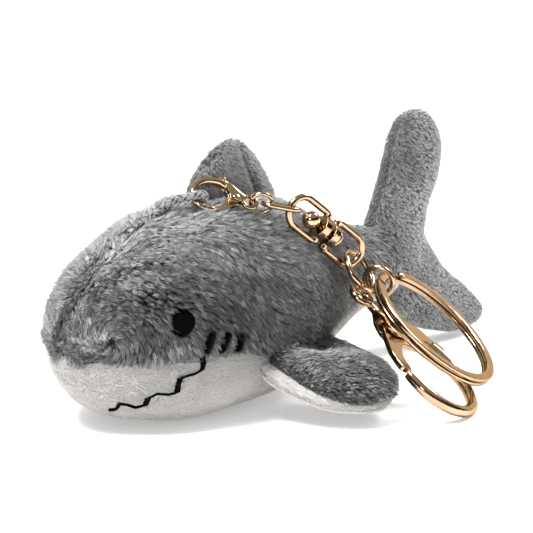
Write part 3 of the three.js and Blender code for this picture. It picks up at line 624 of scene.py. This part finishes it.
def piled_strips(name, patch, skin, cuts, slot, **looks):
    """The pile of one piece of cloth, in strips one behind another."""
    ends = [0, *cuts, len(skin)]
    for k, (start, end) in enumerate(zip(ends, ends[1:]), 1):
        rows = slice(max(start - 1, 0), end)
        hair = pile(f"{name}_{k}", patch.rows(rows), skin[rows], FIBRES, keep=in_front_of_tail,
                    clear=off_the_stitches, **looks)
        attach(hair, "plush_body")


ROWS, FIBRES = 150, 19500
for side, seam_to_seam, seed in (("left", LEFT, 100), ("right", RIGHT, 200)):
    patch = body_patch(*seam_to_seam, ROWS, 56)
    skin = patch.sunk(body_depth(patch))
    piece = cloth(f"back_skin_{side}", patch, skin, 0.7, GREY_BACKING_PAINTED_SHADE)
    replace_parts(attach(piece, "plush_body"), f"back_panel_{side}")
    piled_strips(f"back_pile_{side}", patch, skin, (47, 70, 90, 110), "grey_plush",
                 length=body_length, lean=body_lean, comb=comb_body, roots=GREY_ROOTS_PAINTED_SHADE, tips=GREY_TIPS,
                 seed=seed, tone=body_painted_light_and_shade, width=0.062, tuft=0.66, clump=0.64, grain=0.2)


def comb_belly(p, n):
    return np.stack([1 + 0.3 * wobble(p, 20, 3), 0.4 * wobble(p, 15, 4), 0.4 * wobble(p, 15, 6)], -1)


patch = body_patch(*BELLY, ROWS, 70)
skin = patch.sunk(0.6 + 0.6 * np.exp(-(patch.edge / 1.2) ** 2))
skin[..., 2] = np.maximum(skin[..., 2], 0.5)
piece = cloth("belly_skin", patch, skin, 0.6, WHITE_BACKING_PAINTED_SHADE)
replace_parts(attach(piece, "plush_body"), "belly_panel")
piled_strips("belly_pile", patch, skin, (60, 95), "white_plush",
             length=0.9, lean=66, comb=comb_belly, roots=WHITE_ROOTS_PAINTED_SHADE, tips=WHITE_TIPS, seed=300,
             width=0.08, tuft=0.5, clump=0.1, fray=0.15, grain=0.08)


def capped(rings):
    """Vertices and faces of a closed solid from rings of points (rows, around, 3), a fan over each end."""
    n, m = rings.shape[:2]
    fan = np.arange(m)
    caps = np.concatenate([np.stack([(fan + 1) % m, fan, 0 * fan + n * m], -1),
                           (n - 1) * m + np.stack([fan, (fan + 1) % m, 0 * fan + m + 1], -1)])
    verts = np.concatenate([rings.reshape(-1, 3), [rings[0].mean(0), rings[-1].mean(0)]])
    return verts, [grid_quads(n, m, closed=True), caps]


def filling_rings(inset, rows=60, around=48):
    """The body's surface moved inwards, slightly uneven, and above the cloth of the belly."""
    along = np.linspace(0, 1, rows)[:, None]
    x = NOSE + 0.4 + (REAR - inset - NOSE - 0.4) * along ** 1.4
    turn = turns(around)[None]
    points = body_point(x + 0 * turn, turn + 0 * x)
    centre = middle_of(x)
    reach = np.linalg.norm(points - centre, axis=-1, keepdims=True)
    points = centre + (points - centre) * np.maximum(reach - inset, 0.1) / np.maximum(reach, 0.1)
    points += unit(points - centre) * 0.2 * wobble(points.reshape(-1, 3), 9, 21).reshape(rows, around, 1)
    points[..., 0] += inset * (1 - along)
    points[..., 2] = np.maximum(points[..., 2], 1.6)
    return points


filling = make("body_filling", *capped(filling_rings(3.2)), [FILLING])
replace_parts(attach(filling, "plush_body"), "body_stuffing")


# ---- fins and tail
# Stations along each fin: centre x, y, z, half chord, half thickness, chord direction x, y, z
def tilted(rows):
    """Stations in the middle plane, from rows of x, z, half chord, half thickness, degrees below level."""
    return [[x, 0, z, chord, thick, cos(radians(a)), 0, sin(radians(a))] for x, z, chord, thick, a in rows]


DORSAL = tilted([
    [-10.6, 36.5, 12.4, 4.6, -4], [-10.4, 39.6, 11.6, 4.6, -4], [-10.2, 42.6, 10, 4.4, -6],
    [-9.9, 45.4, 8, 4, -9], [-9.6, 47.8, 5.6, 3.2, -12], [-9.4, 49.6, 3, 2, -14],
    [-9.3, 50.4, 0.5, 0.5, -14]])
TAIL = tilted([
    [44.5, 52, 0.6, 0.6, 0], [44.5, 50.9, 4.2, 2.4, 0], [44.5, 48.2, 6.8, 3.8, 0], [44.4, 44, 8.3, 4.5, 1],
    [43.2, 38.5, 8.9, 4.8, 4], [40.8, 33, 9.4, 5, 10], [38.6, 28, 9.8, 5.2, 18], [38, 22.6, 10.6, 5.4, 31],
    [40.4, 17.4, 10.4, 5.4, 43], [45, 13.1, 9.4, 5.2, 50], [50.4, 9.8, 8.3, 4.8, 52],
    [56.6, 6.9, 7, 4.2, 52], [62.4, 4.8, 5.2, 3.4, 51], [66.4, 3.6, 3.2, 2.3, 50], [68, 3, 0.6, 0.6, 50]])
PECTORAL = [
    [-8.4, -12, 12.4, 10.4, 4.4, 1, 0.1, 0], [-8.8, -18, 9.8, 12, 4.7, 1, 0.14, 0.02],
    [-8, -24, 7.8, 12.4, 4.9, 1, 0.2, 0.04], [-6.4, -29, 6.5, 11.6, 4.8, 1, 0.28, 0.06],
    [-5, -32.7, 5.6, 9.4, 4.3, 1, 0.36, 0.06], [-3.8, -35.2, 5, 6.1, 3.1, 1, 0.4, 0.06],
    [-3.2, -36.6, 4.8, 0.6, 0.6, 1, 0.4, 0.06]]


FIN_ROWS = 90
FILLING_DEPTH, FILLING_FROM_ENDS = 2.3, 2.8


def fin_frames(stations, rows):
    """Centre, half chord and half thickness, chord direction and thickness direction at each row."""
    curve = table([[k, *s] for k, s in enumerate(stations)])
    key = np.linspace(0, len(stations) - 1, rows)
    at = curve(key)
    run = unit(curve(np.minimum(key + 0.05, key[-1]))[:, :3] - curve(np.maximum(key - 0.05, 0))[:, :3])
    e = unit(at[:, 5:8])
    return at[:, None, :3], at[:, None, 3:5], e[:, None], unit(np.cross(run, e))[:, None]


def fin_grid(frames, angles, depth, flip, fold):
    """Points round the fin at each row, moved inwards by depth."""
    centre, half, e, up = frames
    inner = np.maximum(half - depth, np.minimum(half, 0.3))
    c, s = np.cos(angles)[..., None], np.sin(angles)[..., None]
    points = centre + e * inner[..., :1] * c + up * inner[..., 1:] * s
    if fold:
        points[..., 2] += fold(points)
    return points * flip


def fin(name, stations, panels, count, length, lean, comb, seed, tone, clump, fibre_tones,
        flip=(1, 1, 1), rows=FIN_ROWS, fold=None, grain=0.1, seam=0.6):
    """Stuffing, two pieces of cloth and their pile."""
    frames = fin_frames(stations, rows)
    centre = frames[0] * flip

    def bending(obj):
        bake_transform(obj)

    from_end = [np.linalg.norm(frames[0][:, 0] - end, axis=-1) for end in frames[0][[0, -1], 0]]
    core = [f[np.minimum(*from_end) > FILLING_FROM_ENDS] for f in frames]
    rings = fin_grid(core, turns(36)[None], FILLING_DEPTH, flip, fold)
    stuffing = make(f"{name}_filling", *capped(rings), [FILLING])
    bending(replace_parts(stuffing, f"{name}_stuffing"))
    for panel, start, end, white in panels:
        angles = start + (end - start) * np.linspace(0, 1, 40)[None]
        outer = fin_grid(frames, angles, 0, flip, fold)
        patch = patch_of(outer, outer - centre)
        valley = np.minimum(seam * np.exp(-(patch.edge / 1.2) ** 2),
                            0.35 * np.maximum(frames[1][..., 1], 0.3))
        skin = fin_grid(frames, angles, 1.0, flip, fold) - patch.n * valley[..., None]
        skin += patch.n * 0.15 * wobble(skin.reshape(-1, 3), 11, seed).reshape(*valley.shape, 1)
        skin[..., 2] = np.maximum(skin[..., 2], 0.7)
        colour, backing, roots, tips = (
            ("white_plush", WHITE_BACKING_PAINTED_SHADE, WHITE_ROOTS_PAINTED_SHADE, WHITE_TIPS) if white
            else ("grey_plush", GREY_BACKING_PAINTED_SHADE, *fibre_tones))
        piece = cloth(f"{name}_{panel}_skin", patch, skin, 0.5, backing)
        bending(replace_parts(piece, f"{name}_{panel}_panel"))
        tall, tufted, shade = (1.0, 0.2, 0.0) if white else (length, clump, tone)
        hair = pile(f"{name}_{panel}_pile", patch, skin, count, tall, lean, comb, roots, tips,
                    seed + len(panel), outside_body, clump=tufted, tuft=0.6, tone=shade, grain=grain)
        bending(hair)


def outside_body(p):
    return depth_in_body(p) < 0.4


def comb_towards(x, y, z, wander=0.45, flip=1):
    return lambda p, n: np.stack([x + wander * wobble(p, 15, 31), flip * y + wander * wobble(p, 13, 32),
                                  z + wander * wobble(p, 14, 33)], -1)


def tail_tone(p):
    return 0.08 + 0.4 * np.exp(-((p[:, 2] - 30) / 8) ** 2)


# Where each panel starts and ends round a fin, root to tip: 0 is the rear edge of the dorsal and tail fins
FIN_SPAN = np.linspace(0, 1, FIN_ROWS)[:, None]
REAR_SEAM = -radians(60) - radians(42) * FIN_SPAN
FRONT_SEAM = pi - radians(25)
fin("dorsal_fin", DORSAL,
    [("left", FRONT_SEAM - 2 * pi, REAR_SEAM, False), ("right", REAR_SEAM, FRONT_SEAM, False)],
    count=9500, length=1.8, lean=55, comb=comb_towards(0.7, 0, -0.7),
    seed=400, tone=0.0, clump=0.4, fibre_tones=(SHORT_ROOTS_PAINTED_SHADE, SHORT_TIPS), seam=1.5)
fin("tail_fin", TAIL, [("left", 0, pi, False), ("right", -pi, 0, False)],
    count=19500, length=1.4, lean=60,
    comb=comb_towards(0.7, 0, -0.7, 0.25), seed=500, tone=tail_tone, clump=0.25,
    fibre_tones=(SHORT_ROOTS_PAINTED_SHADE, SHORT_TIPS), rows=150, grain=0.075)
outwards = np.clip((FIN_SPAN - 0.2) / 0.6, 0, 1)
UNDER = radians(24) - radians(36) * outwards * outwards * (3 - 2 * outwards)


def hump(p, x, y, along, across):
    return np.exp(-(((p[..., 0] - x) / along) ** 2) - ((np.abs(p[..., 1]) - y) / across) ** 2)


def cupped(p):
    """The fin sags beside the body, and a low hump rises at its rear root."""
    return 0.7 * hump(p, 2, 20, 3.5, 3) - 3.0 * hump(p, -6, 20, 5, 3.2)


# Painted light and shade in the pectoral fin's tone: lighter on the outer part as painted light, painted
# shade in the hollow by the root, a little darker elsewhere.
def pectoral_painted_light_and_shade(p):
    return 0.2 * hump(p, -8, 25, 9, 3) - 0.6 * hump(p, -4, 17.5, 6, 3.2) - 0.17


for side, flip in (("left", 1), ("right", -1)):
    fin(f"{side}_pectoral", PECTORAL,
        [("top", 0, pi - UNDER, False), ("bottom", -pi - UNDER, 0, True)],
        count=10000, length=2.0, lean=56,
        comb=comb_towards(0.7, -0.7, -0.2, flip=flip), seed=600 + flip * 50, tone=pectoral_painted_light_and_shade,
        clump=0.55, fibre_tones=(GREY_ROOTS_PAINTED_SHADE, GREY_TIPS), flip=(1, flip, 1), fold=cupped, grain=0.17)


# ---- embroidery
def on_body(x, angle, lift):
    """Points lifted off the body's surface."""
    p = body_point(x, angle)
    n = unit(np.cross(body_point(x + 0.1, angle) - body_point(x - 0.1, angle),
                      body_point(x, angle + 0.02) - body_point(x, angle - 0.02)))
    out = np.sign(np.sum(n * (p - np.stack([x, 0 * x, 0 * x + 17], -1)), -1, keepdims=True))
    return p + n * out * lift[..., None]


def stitches(name, paths, radius, flip):
    verts, *faces = tubes(paths, radius)
    return make(name, verts * (1, flip, 1), faces, [BLACK])


def eye_stitches(side, flip):
    """Satin stitches side by side over a low dome."""
    rng = np.random.default_rng(7)
    paths = []
    for u in np.linspace(-0.97, 0.97, 30):
        reach = (1 - u * u) ** 0.5
        top, bottom = reach + rng.uniform(-0.05, 0.16), -reach - rng.uniform(-0.05, 0.16)
        t = np.linspace(-1, 1, 13)
        v = np.linspace(bottom, top, len(t))
        x = EYE_X + EYE_LENGTH * (u + 0.12 * v) + rng.normal() * 0.02
        z = EYE_Z + EYE_HEIGHT * v
        angle = np.array([flank_angle(float(a), float(b)) for a, b in zip(x, z)])
        lift = -1.2 + 1.5 * (1 - np.abs(t) ** 3.5) ** 0.5 * (0.5 + 0.5 * reach) + rng.uniform(0, 0.05)
        paths.append(on_body(x, angle, lift))
    return stitches(f"{side}_eye_stitches", paths, 0.13, flip)


def satin_line(name, rows, width, sunk, rise, flip):
    """Short, nearly level stitches side by side along rows of (x, z): the line is thick where it is steep."""
    rng = np.random.default_rng(len(name))
    x, angle = stitched_line(rows, 0.1)
    run = unit(np.gradient(body_point(x, angle), axis=0))
    steep = np.clip(np.abs(run[:, 2:]) * 2.2 - 1.0, 0.15, 1)
    t = np.linspace(-1, 1, 9)[None]
    xs = x[:, None] + t * width / 2 * steep * rng.uniform(0.8, 1.15, steep.shape)
    angles = angle[:, None] + 0.006 * t + 0.002 * rng.normal(size=steep.shape)
    lift = -sunk + (sunk + rise) * np.sqrt(1 - np.abs(t) ** 3) + 0 * xs
    return stitches(name, on_body(xs, angles, lift), 0.085, flip)


def black(obj, node):
    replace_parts(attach(obj, "plush_body"), node)


for side, flip in (("left", 1), ("right", -1)):
    black(eye_stitches(side, flip), f"{side}_eye_embroidery")
    for k, rows in enumerate(GILLS, 1):
        black(satin_line(f"{side}_gill_thread_{k}", rows, 0.55, 0.8, 0.8, flip), f"{side}_gill_stitch_{k}")
    rows = MOUTH if side == "left" else MOUTH[:-4]
    black(satin_line(f"{side}_mouth_thread", rows, 0.95, 0.35, 0.2, flip), f"{side}_mouth_stitch")


# ---- metal, each piece in its own frame
# Place of the frame, its X direction and a second direction, near its Y
PLACE = {
    "small_clasp": ((-13.15, -9.4, 39.65), (-0.836, 0.504, 0.217), (0.486, 0.498, 0.718)),
    "small_ring": ((-11.59, -10.28, 39.44), (0.707, -0.678, 0.199), (-0.414, -0.169, 0.894)),
    "oval_link": ((-8.72, -12.68, 38.72), (0.742, -0.642, -0.193), (0.648, 0.76, -0.037)),
    "swivel": ((0.75, -15.45, 33.05), (0.782, -0.155, -0.603), (0.584, -0.153, 0.797)),
    "large_ring": ((7.88, -18.03, 24.54), (0.175, -0.524, -0.833), (0.927, 0.373, -0.04)),
    "connector_ring": ((11.35, -19.91, 22.41), (0.445, -0.859, -0.252), (0.071, 0.314, -0.947)),
    "split_ring": ((17.0, -29.55, 13.65), (0.322, -0.679, -0.659), (0.901, 0.435, -0.008)),
    "large_clasp": ((6.51, -19.29, 20.27), (0.071, -0.801, -0.595), (0.965, 0.206, -0.163)),
}


def placed(verts, place):
    """From a piece's own frame to the table frame."""
    at, along, across = (np.array(v, float) for v in PLACE[place])
    x = unit(along)
    y = unit(across - x * np.dot(across, x))
    return np.asarray(verts) @ np.stack([x, y, np.cross(x, y)]) + at


def metal(obj, body, node):
    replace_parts(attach(obj, body), node)


def closed_sleeve(rows, sides):
    """Faces of a sleeve of rows with this many sides, with a flat face over each end."""
    ring = np.arange(sides)
    return [grid_quads(rows, sides, closed=True), np.stack([ring[::-1], (rows - 1) * sides + ring])]


def wire(path, closed=False, sides=20):
    """Bent wire in the XY plane: rows of x, y, radius in the plane, radius across."""
    path = np.array(path, float)
    x, y, flat, thick = path.T[..., None]
    run = unit(np.roll(path[:, :2], -1, 0) - np.roll(path[:, :2], 1, 0) if closed
               else np.gradient(path[:, :2], axis=0))
    turn = turns(sides)[None]
    flat = flat * np.cos(turn)
    verts = np.stack([x + run[:, 1:] * flat, y - run[:, :1] * flat, thick * np.sin(turn)], -1)
    n = len(path)
    return verts.reshape(-1, 3), ([grid_quads(n + 1, sides, closed=True) % (n * sides)] if closed
                                  else closed_sleeve(n, sides))


def dense(path, steps):
    """More points on a smooth curve through the rows of a path."""
    path = np.array(path, float)
    along = way_along(path[:, :2])
    return table(np.column_stack([along, path]))(np.linspace(0, along[-1], steps))


def circle(radius, thick, x=0.0, steps=120):
    t = turns(steps)
    wires = 0 * t + thick
    return wire(np.stack([x + radius * np.cos(t), radius * np.sin(t), wires, wires], -1), True)


ON_AXIS = 0.02


def lathe_x(profile, sides=48):
    """Solid turned about the X axis from rows of radius, x; both ends on the axis."""
    profile = np.array(profile, float)
    turn = turns(sides)[None]
    r, x = profile[:, :1], profile[:, 1:]
    verts = np.stack([x + 0 * turn, r * np.cos(turn), r * np.sin(turn)], -1).reshape(-1, 3)
    return verts, closed_sleeve(len(profile), sides)


def plate(outline, half):
    """Flat plate with this outline in XY."""
    c = np.array(outline, float)
    area = np.sum(c[:, 0] * np.roll(c[:, 1], -1) - np.roll(c[:, 0], -1) * c[:, 1])
    c = c if area > 0 else c[::-1]
    m = len(c)
    verts = np.concatenate([np.column_stack([c, np.full(m, z)]) for z in (-half, half)])
    j = np.arange(m)
    return verts, [np.stack([j, (j + 1) % m, m + (j + 1) % m, m + j], -1), j[::-1][None], (m + j)[None]]


def rod(radius, start, end):
    """Cylinder between two points."""
    start, end = np.array(start, float), np.array(end, float)
    steps = np.array([[0], [0.02], [0.5], [0.98], [1]])
    verts, *faces = tubes([start + (end - start) * steps], radius, 32)
    return verts, faces


def modified(obj, kind, **values):
    """Puts a modifier's result into the mesh."""
    modifier = obj.modifiers.new(kind.lower(), kind)
    for key, value in values.items():
        setattr(modifier, key, value)
    graph = bpy.context.evaluated_depsgraph_get()
    mesh = bpy.data.meshes.new_from_object(obj.evaluated_get(graph))
    old, obj.data = obj.data, mesh
    obj.modifiers.clear()
    bpy.data.meshes.remove(old)


def cast(name, solids, cuts, place, voxel, rounding):
    """One metal casting: the solids melted together with soft edges, then cut."""
    verts, polys, start = [], [], 0
    for v, faces in solids:
        verts.append(placed(v, place))
        polys += [f + start for f in faces]
        start += len(v)
    obj = make(name, np.concatenate(verts), polys, [METAL])
    modified(obj, "REMESH", mode="VOXEL", voxel_size=voxel * MM, use_smooth_shade=True)
    modified(obj, "SMOOTH", factor=0.5, iterations=rounding)
    for v, faces in cuts:
        tool = make("tool", placed(v, place), faces, [METAL])
        modified(obj, "BOOLEAN", operation="DIFFERENCE", solver="EXACT", object=tool)
        bpy.data.objects.remove(tool)
    obj.data.polygons.foreach_set("use_smooth", np.ones(len(obj.data.polygons), bool))
    return obj


def turned(name, solid, place):
    verts, polys = solid
    return make(name, placed(verts, place), polys, [METAL])


# Rows of x, y for a clasp 33 mm long; the arm's also have its radii in shares of the wire's
CLASP_ARM = [
    [5, 0.6, 1.5, 1.7], [8, 2.6, 1.55, 1.8], [11.5, 5.4, 1.5, 1.8], [15.5, 7.6, 1.35, 1.6],
    [18.4, 8.5, 1.2, 1.45], [21.4, 8.8, 1.1, 1.2], [24.5, 8.4, 1.05, 1.1], [27.4, 7.1, 1, 1],
    [29.8, 5.1, 1, 1], [31.4, 2.5, 1, 1], [32, -0.6, 1, 1], [31.4, -3.6, 1, 1], [29.8, -6.1, 1, 1],
    [27.4, -7.9, 1, 1], [24.8, -8.7, 0.95, 1], [22.3, -8.8, 0.9, 0.95], [21.3, -8.75, 0.8, 0.9]]
CLASP_CHEEK = [
    [4.8, -0.9], [7.6, -2.3], [10.2, -3.3], [12.2, -2.9], [12.9, -1.2], [13.2, 1.2], [14.6, 4.4],
    [15.6, 7.4], [12.5, 7.2], [8.8, 3.8], [4.8, 0.9]]
CLASP_SLOT = [
    [7, -4.5], [13, -12], [20.5, -12], [21.4, -7.2], [18.5, -4], [14.8, 0], [15.5, 4], [18.2, 8],
    [18.6, 13], [4.5, 13.5], [7.2, 4.5]]
CLASP_LEVER = [
    [8.2, -2.6], [12.5, -6.1], [16.2, -8.6], [19.9, -9.6], [20.9, -7.6], [17.6, -6.2], [15, -3.4],
    [13.4, 0.2], [14.8, 4], [17.4, 8.8], [17.3, 11.4], [15.2, 11.6], [13.6, 8.6], [10.6, 3.6], [8.4, 1.4]]
CLASP_PIVOT, CLASP_NUB, CLASP_LENGTH = np.array([9.9, -0.9]), np.array([16.2, 11.0]), 33


def outline(rows, scale, steps=90):
    """Closed smooth curve through the rows."""
    p = np.array(rows + rows[:1], float)
    along = way_along(p)
    return table(np.column_stack([along, p]))(np.linspace(0, along[-1], steps, endpoint=False)) * scale


def lobster_clasp(size, length, cheek, slot, lever, pin, gap, wire_radius, eye_x, eye_radius, eye_wire,
                  voxel):
    """Casting, thumb lever and rivet; cheek, slot and lever are half thicknesses."""
    k = length / CLASP_LENGTH
    px, py = CLASP_PIVOT * k
    arm = dense(CLASP_ARM, 120) * (k, k, wire_radius, wire_radius)
    arm[:, 3] = np.minimum(arm[:, 3], cheek)
    nub = rod(0.8 * wire_radius, (*(k * CLASP_NUB), -lever), (*(k * CLASP_NUB), lever))
    hole = rod(pin + gap, (px, py, -2 * cheek), (px, py, 2 * cheek))
    neck = rod(eye_wire * 1.1, (eye_x + eye_radius, 0, 0), (5.6 * k, 0, 0))
    place = f"{size}_clasp"
    cheeks, faces = plate(outline(CLASP_CHEEK, k), cheek)
    cheeks[:, 2] *= np.clip((cheeks[:, 0] / k - 3.6) / 3.6, 0.4, 1)  # thinner towards the eye
    body = cast(f"{place}_casting", [circle(eye_radius, eye_wire, eye_x), neck, wire(arm), (cheeks, faces)],
                [plate(outline(CLASP_SLOT, k), slot), hole], place, voxel, 4)
    metal(body, place, f"{place}_body")
    blade = plate(outline(CLASP_LEVER, k), lever)
    thumb = cast(f"{place}_thumb_lever", [blade, nub], [hole], place, voxel, 2)
    metal(thumb, f"{place}_lever", f"{place}_lever")
    head = cheek + gap
    rim = pin + 0.35
    half = [[pin, head], [rim, head], [rim, head + 0.2], [rim * 0.8, head + 0.3], [ON_AXIS, head + 0.3]]
    rivet, faces = lathe_x([[r, -x] for r, x in half[::-1]] + half)
    rivet = rivet[:, [2, 1, 0]] + (px, py, 0)
    metal(turned(f"{place}_rivet", (rivet, [f[:, ::-1] for f in faces]), place), place, f"{place}_pin")


lobster_clasp("small", length=12.2, cheek=1.05, slot=0.5, lever=0.3, pin=0.32, gap=0.18, wire_radius=0.7,
              eye_x=0.62, eye_radius=1.35, eye_wire=0.45, voxel=0.07)
lobster_clasp("large", length=33.0, cheek=1.6, slot=0.85, lever=0.55, pin=0.6, gap=0.3, wire_radius=1.15,
              eye_x=0.6, eye_radius=2.1, eye_wire=0.75, voxel=0.12)

HALF_LENGTH, HALF_WIDTH, LINK_WIRE = 3.45, 1.55, 0.52
link_path = [[end * (HALF_LENGTH - HALF_WIDTH + HALF_WIDTH * cos(t)), end * HALF_WIDTH * sin(t),
              LINK_WIRE, LINK_WIRE] for end in (1, -1) for t in np.linspace(-pi / 2, pi / 2, 30)]
for name, solid, place, node in (
        ("small_round_ring", circle(2.1, 0.4), "small_ring", "small_jump_ring"),
        ("large_round_ring", circle(4.2, 0.62), "large_ring", "large_jump_ring"),
        ("link_ring", circle(2.85, 0.5), "connector_ring", "connector_ring"),
        ("long_link", wire(link_path, True), "oval_link", "oval_link")):
    metal(turned(name, solid, place), node, node)

# The swivel: where its bar lies, the bar's length at the boss, and the rivet through the bosses
LENGTH, WIDTH, WIRE, MIDDLE, BAR, BAR_RADIUS, BOSS = 10.0, 3.1, 0.72, 1.9 - 0.55, 1.7, 0.85, 2.4
PIN, PIN_GAP, BALL, HEAD = 0.7, 0.3, 1.8, 1.85


def swivel_frame(name, end, body, node):
    """A U of wire closed by a bar, with a bored boss for the rivet."""
    rows = [[LENGTH - WIDTH + WIDTH * cos(t), WIDTH * sin(t)] for t in np.linspace(-pi / 2, pi / 2, 24)]
    rows += [[x, WIDTH] for x in np.linspace(6.2, 1.9, 6)]
    rows += [[MIDDLE, y * WIDTH] for y in np.linspace(0.7, -0.7, 7)]
    rows += [[x, -WIDTH] for x in np.linspace(1.9, 6.2, 6)]
    path = np.array([[end * x, y, WIRE, WIRE] for x, y in rows])
    at, half = end * MIDDLE, BAR / 2
    solids = [wire(path, True), rod(BAR_RADIUS, (at, -WIDTH - 0.2, 0), (at, WIDTH + 0.2, 0)),
              rod(BOSS, (at - half, 0, 0), (at + half, 0, 0))]
    bore = rod(PIN + PIN_GAP, (at - 2 * half, 0, 0), (at + 2 * half, 0, 0))
    metal(cast(name, solids, [bore], "swivel", 0.09, 3), body, node)


swivel_frame("swivel_cord_side", -1, "swivel_upper", "swivel_upper_frame")
swivel_frame("swivel_ring_side", 1, "swivel_lower", "swivel_lower_frame")


def swivel_rivet():
    """A ball outside one frame, the pin, and a flat head outside the other."""
    face = MIDDLE + BAR / 2 + PIN_GAP
    ball = [[max(BALL * cos(t), PIN), -face - BALL + BALL * sin(t)] for t in np.linspace(-pi / 2, pi / 2, 24)]
    return lathe_x([[ON_AXIS, -face - 2 * BALL], *ball[1:-1], [PIN, -face], [PIN, face], [HEAD, face],
                    [HEAD, face + 0.6], [HEAD - 0.3, face + 0.9], [ON_AXIS, face + 0.9]])


metal(turned("swivel_ball_rivet", swivel_rivet(), "swivel"), "swivel_lower", "swivel_rivet")


def split_ring(radius=14.0, width=1.9, height=0.95, gap=0.14, start=205, sweep=666, step=(312, 360),
               rows=400, sides=28):
    """Flat wire wound nearly twice round, which steps to the second level at the end of the first turn."""
    degrees = np.linspace(0, sweep, rows)
    t = np.clip((degrees - step[0]) / (step[1] - step[0]), 0, 1)
    level = (height + gap) / 2 * (2 * t * t * (3 - 2 * t) - 1)
    c, s = np.cos(turns(sides)), np.sin(turns(sides))
    u = radius + width / 2 * np.sign(c) * np.abs(c) ** 0.4
    v = height / 2 * np.sign(s) * np.abs(s) ** 0.55
    around = np.radians(degrees + start)[:, None]
    verts = np.stack([u * np.cos(around), u * np.sin(around), level[:, None] + v], -1)
    return verts.reshape(-1, 3), closed_sleeve(rows, sides)


metal(turned("split_ring_coil", split_ring(), "split_ring"), "split_ring", "split_key_ring")


# ---- lights and stage
def area_light(name, place, size, power):
    light = bpy.data.lights.new(name, "AREA")
    light.shape, light.size, light.energy = "DISK", size, power
    obj = linked(name, light)
    look_at(obj, place, CENTRE)
    return obj


CENTRE = (0.022, 0, 0.02)
lights = [area_light("key", (-0.3, 0.05, 0.75), 0.35, 11.0),
          area_light("fill", (-0.75, -0.35, 0.3), 0.25, 1.2),
          area_light("rim", (0.55, -0.1, 0.55), 0.3, 4.5)]
world = bpy.data.worlds.new("studio")
world.use_nodes = True
sky = world.node_tree
height = sky.nodes.new("ShaderNodeSeparateXYZ")
sky.links.new(sky.nodes.new("ShaderNodeTexCoord").outputs["Generated"], height.inputs[0])
ramp(sky, height, [(0.0, (0.3,) * 3), (0.05, (0.015,) * 3), (0.4, (0.03,) * 3), (0.6, (0.45,) * 3)],
     sky.nodes["Background"].inputs["Color"], "Z")
sky.nodes["Background"].inputs["Strength"].default_value = 1.0
bpy.context.scene.world = world
bpy.context.scene.view_settings.view_transform = "Standard"

# Floor, bend and wall in metres: distance from the part, away from the camera, and height
BEND_AT, BEND_RADIUS, FLOOR_HALF, BELOW = 0.45, 0.35, 2, 0.00005
bend = [(BEND_AT + BEND_RADIUS * sin(t), BEND_RADIUS * (1 - cos(t))) for t in np.linspace(0.1, pi / 2, 14)]
sweep = [(-1.5, 0), (BEND_AT, 0), *bend, (BEND_AT + BEND_RADIUS, 2.5)]
away, across = np.array([1, 1, 0]) / 2**0.5, np.array([1, -1, 0]) / 2**0.5
sheet = np.array([[away * d + across * w + (0, 0, h - BELOW) for w in (-FLOOR_HALF, FLOOR_HALF)]
                  for d, h in sweep]) / MM
pale, *_ = principled("pale_stage", Base_Color=(0.9, 0.9, 0.9, 1), Roughness=0.9, Emission_Color=(1, 1, 1, 1),
                      Emission_Strength=0.3)
backdrop = make("pale_backdrop", sheet.reshape(-1, 3) - (REST_X, 0, 0), [grid_quads(len(sweep), 2)], [pale])
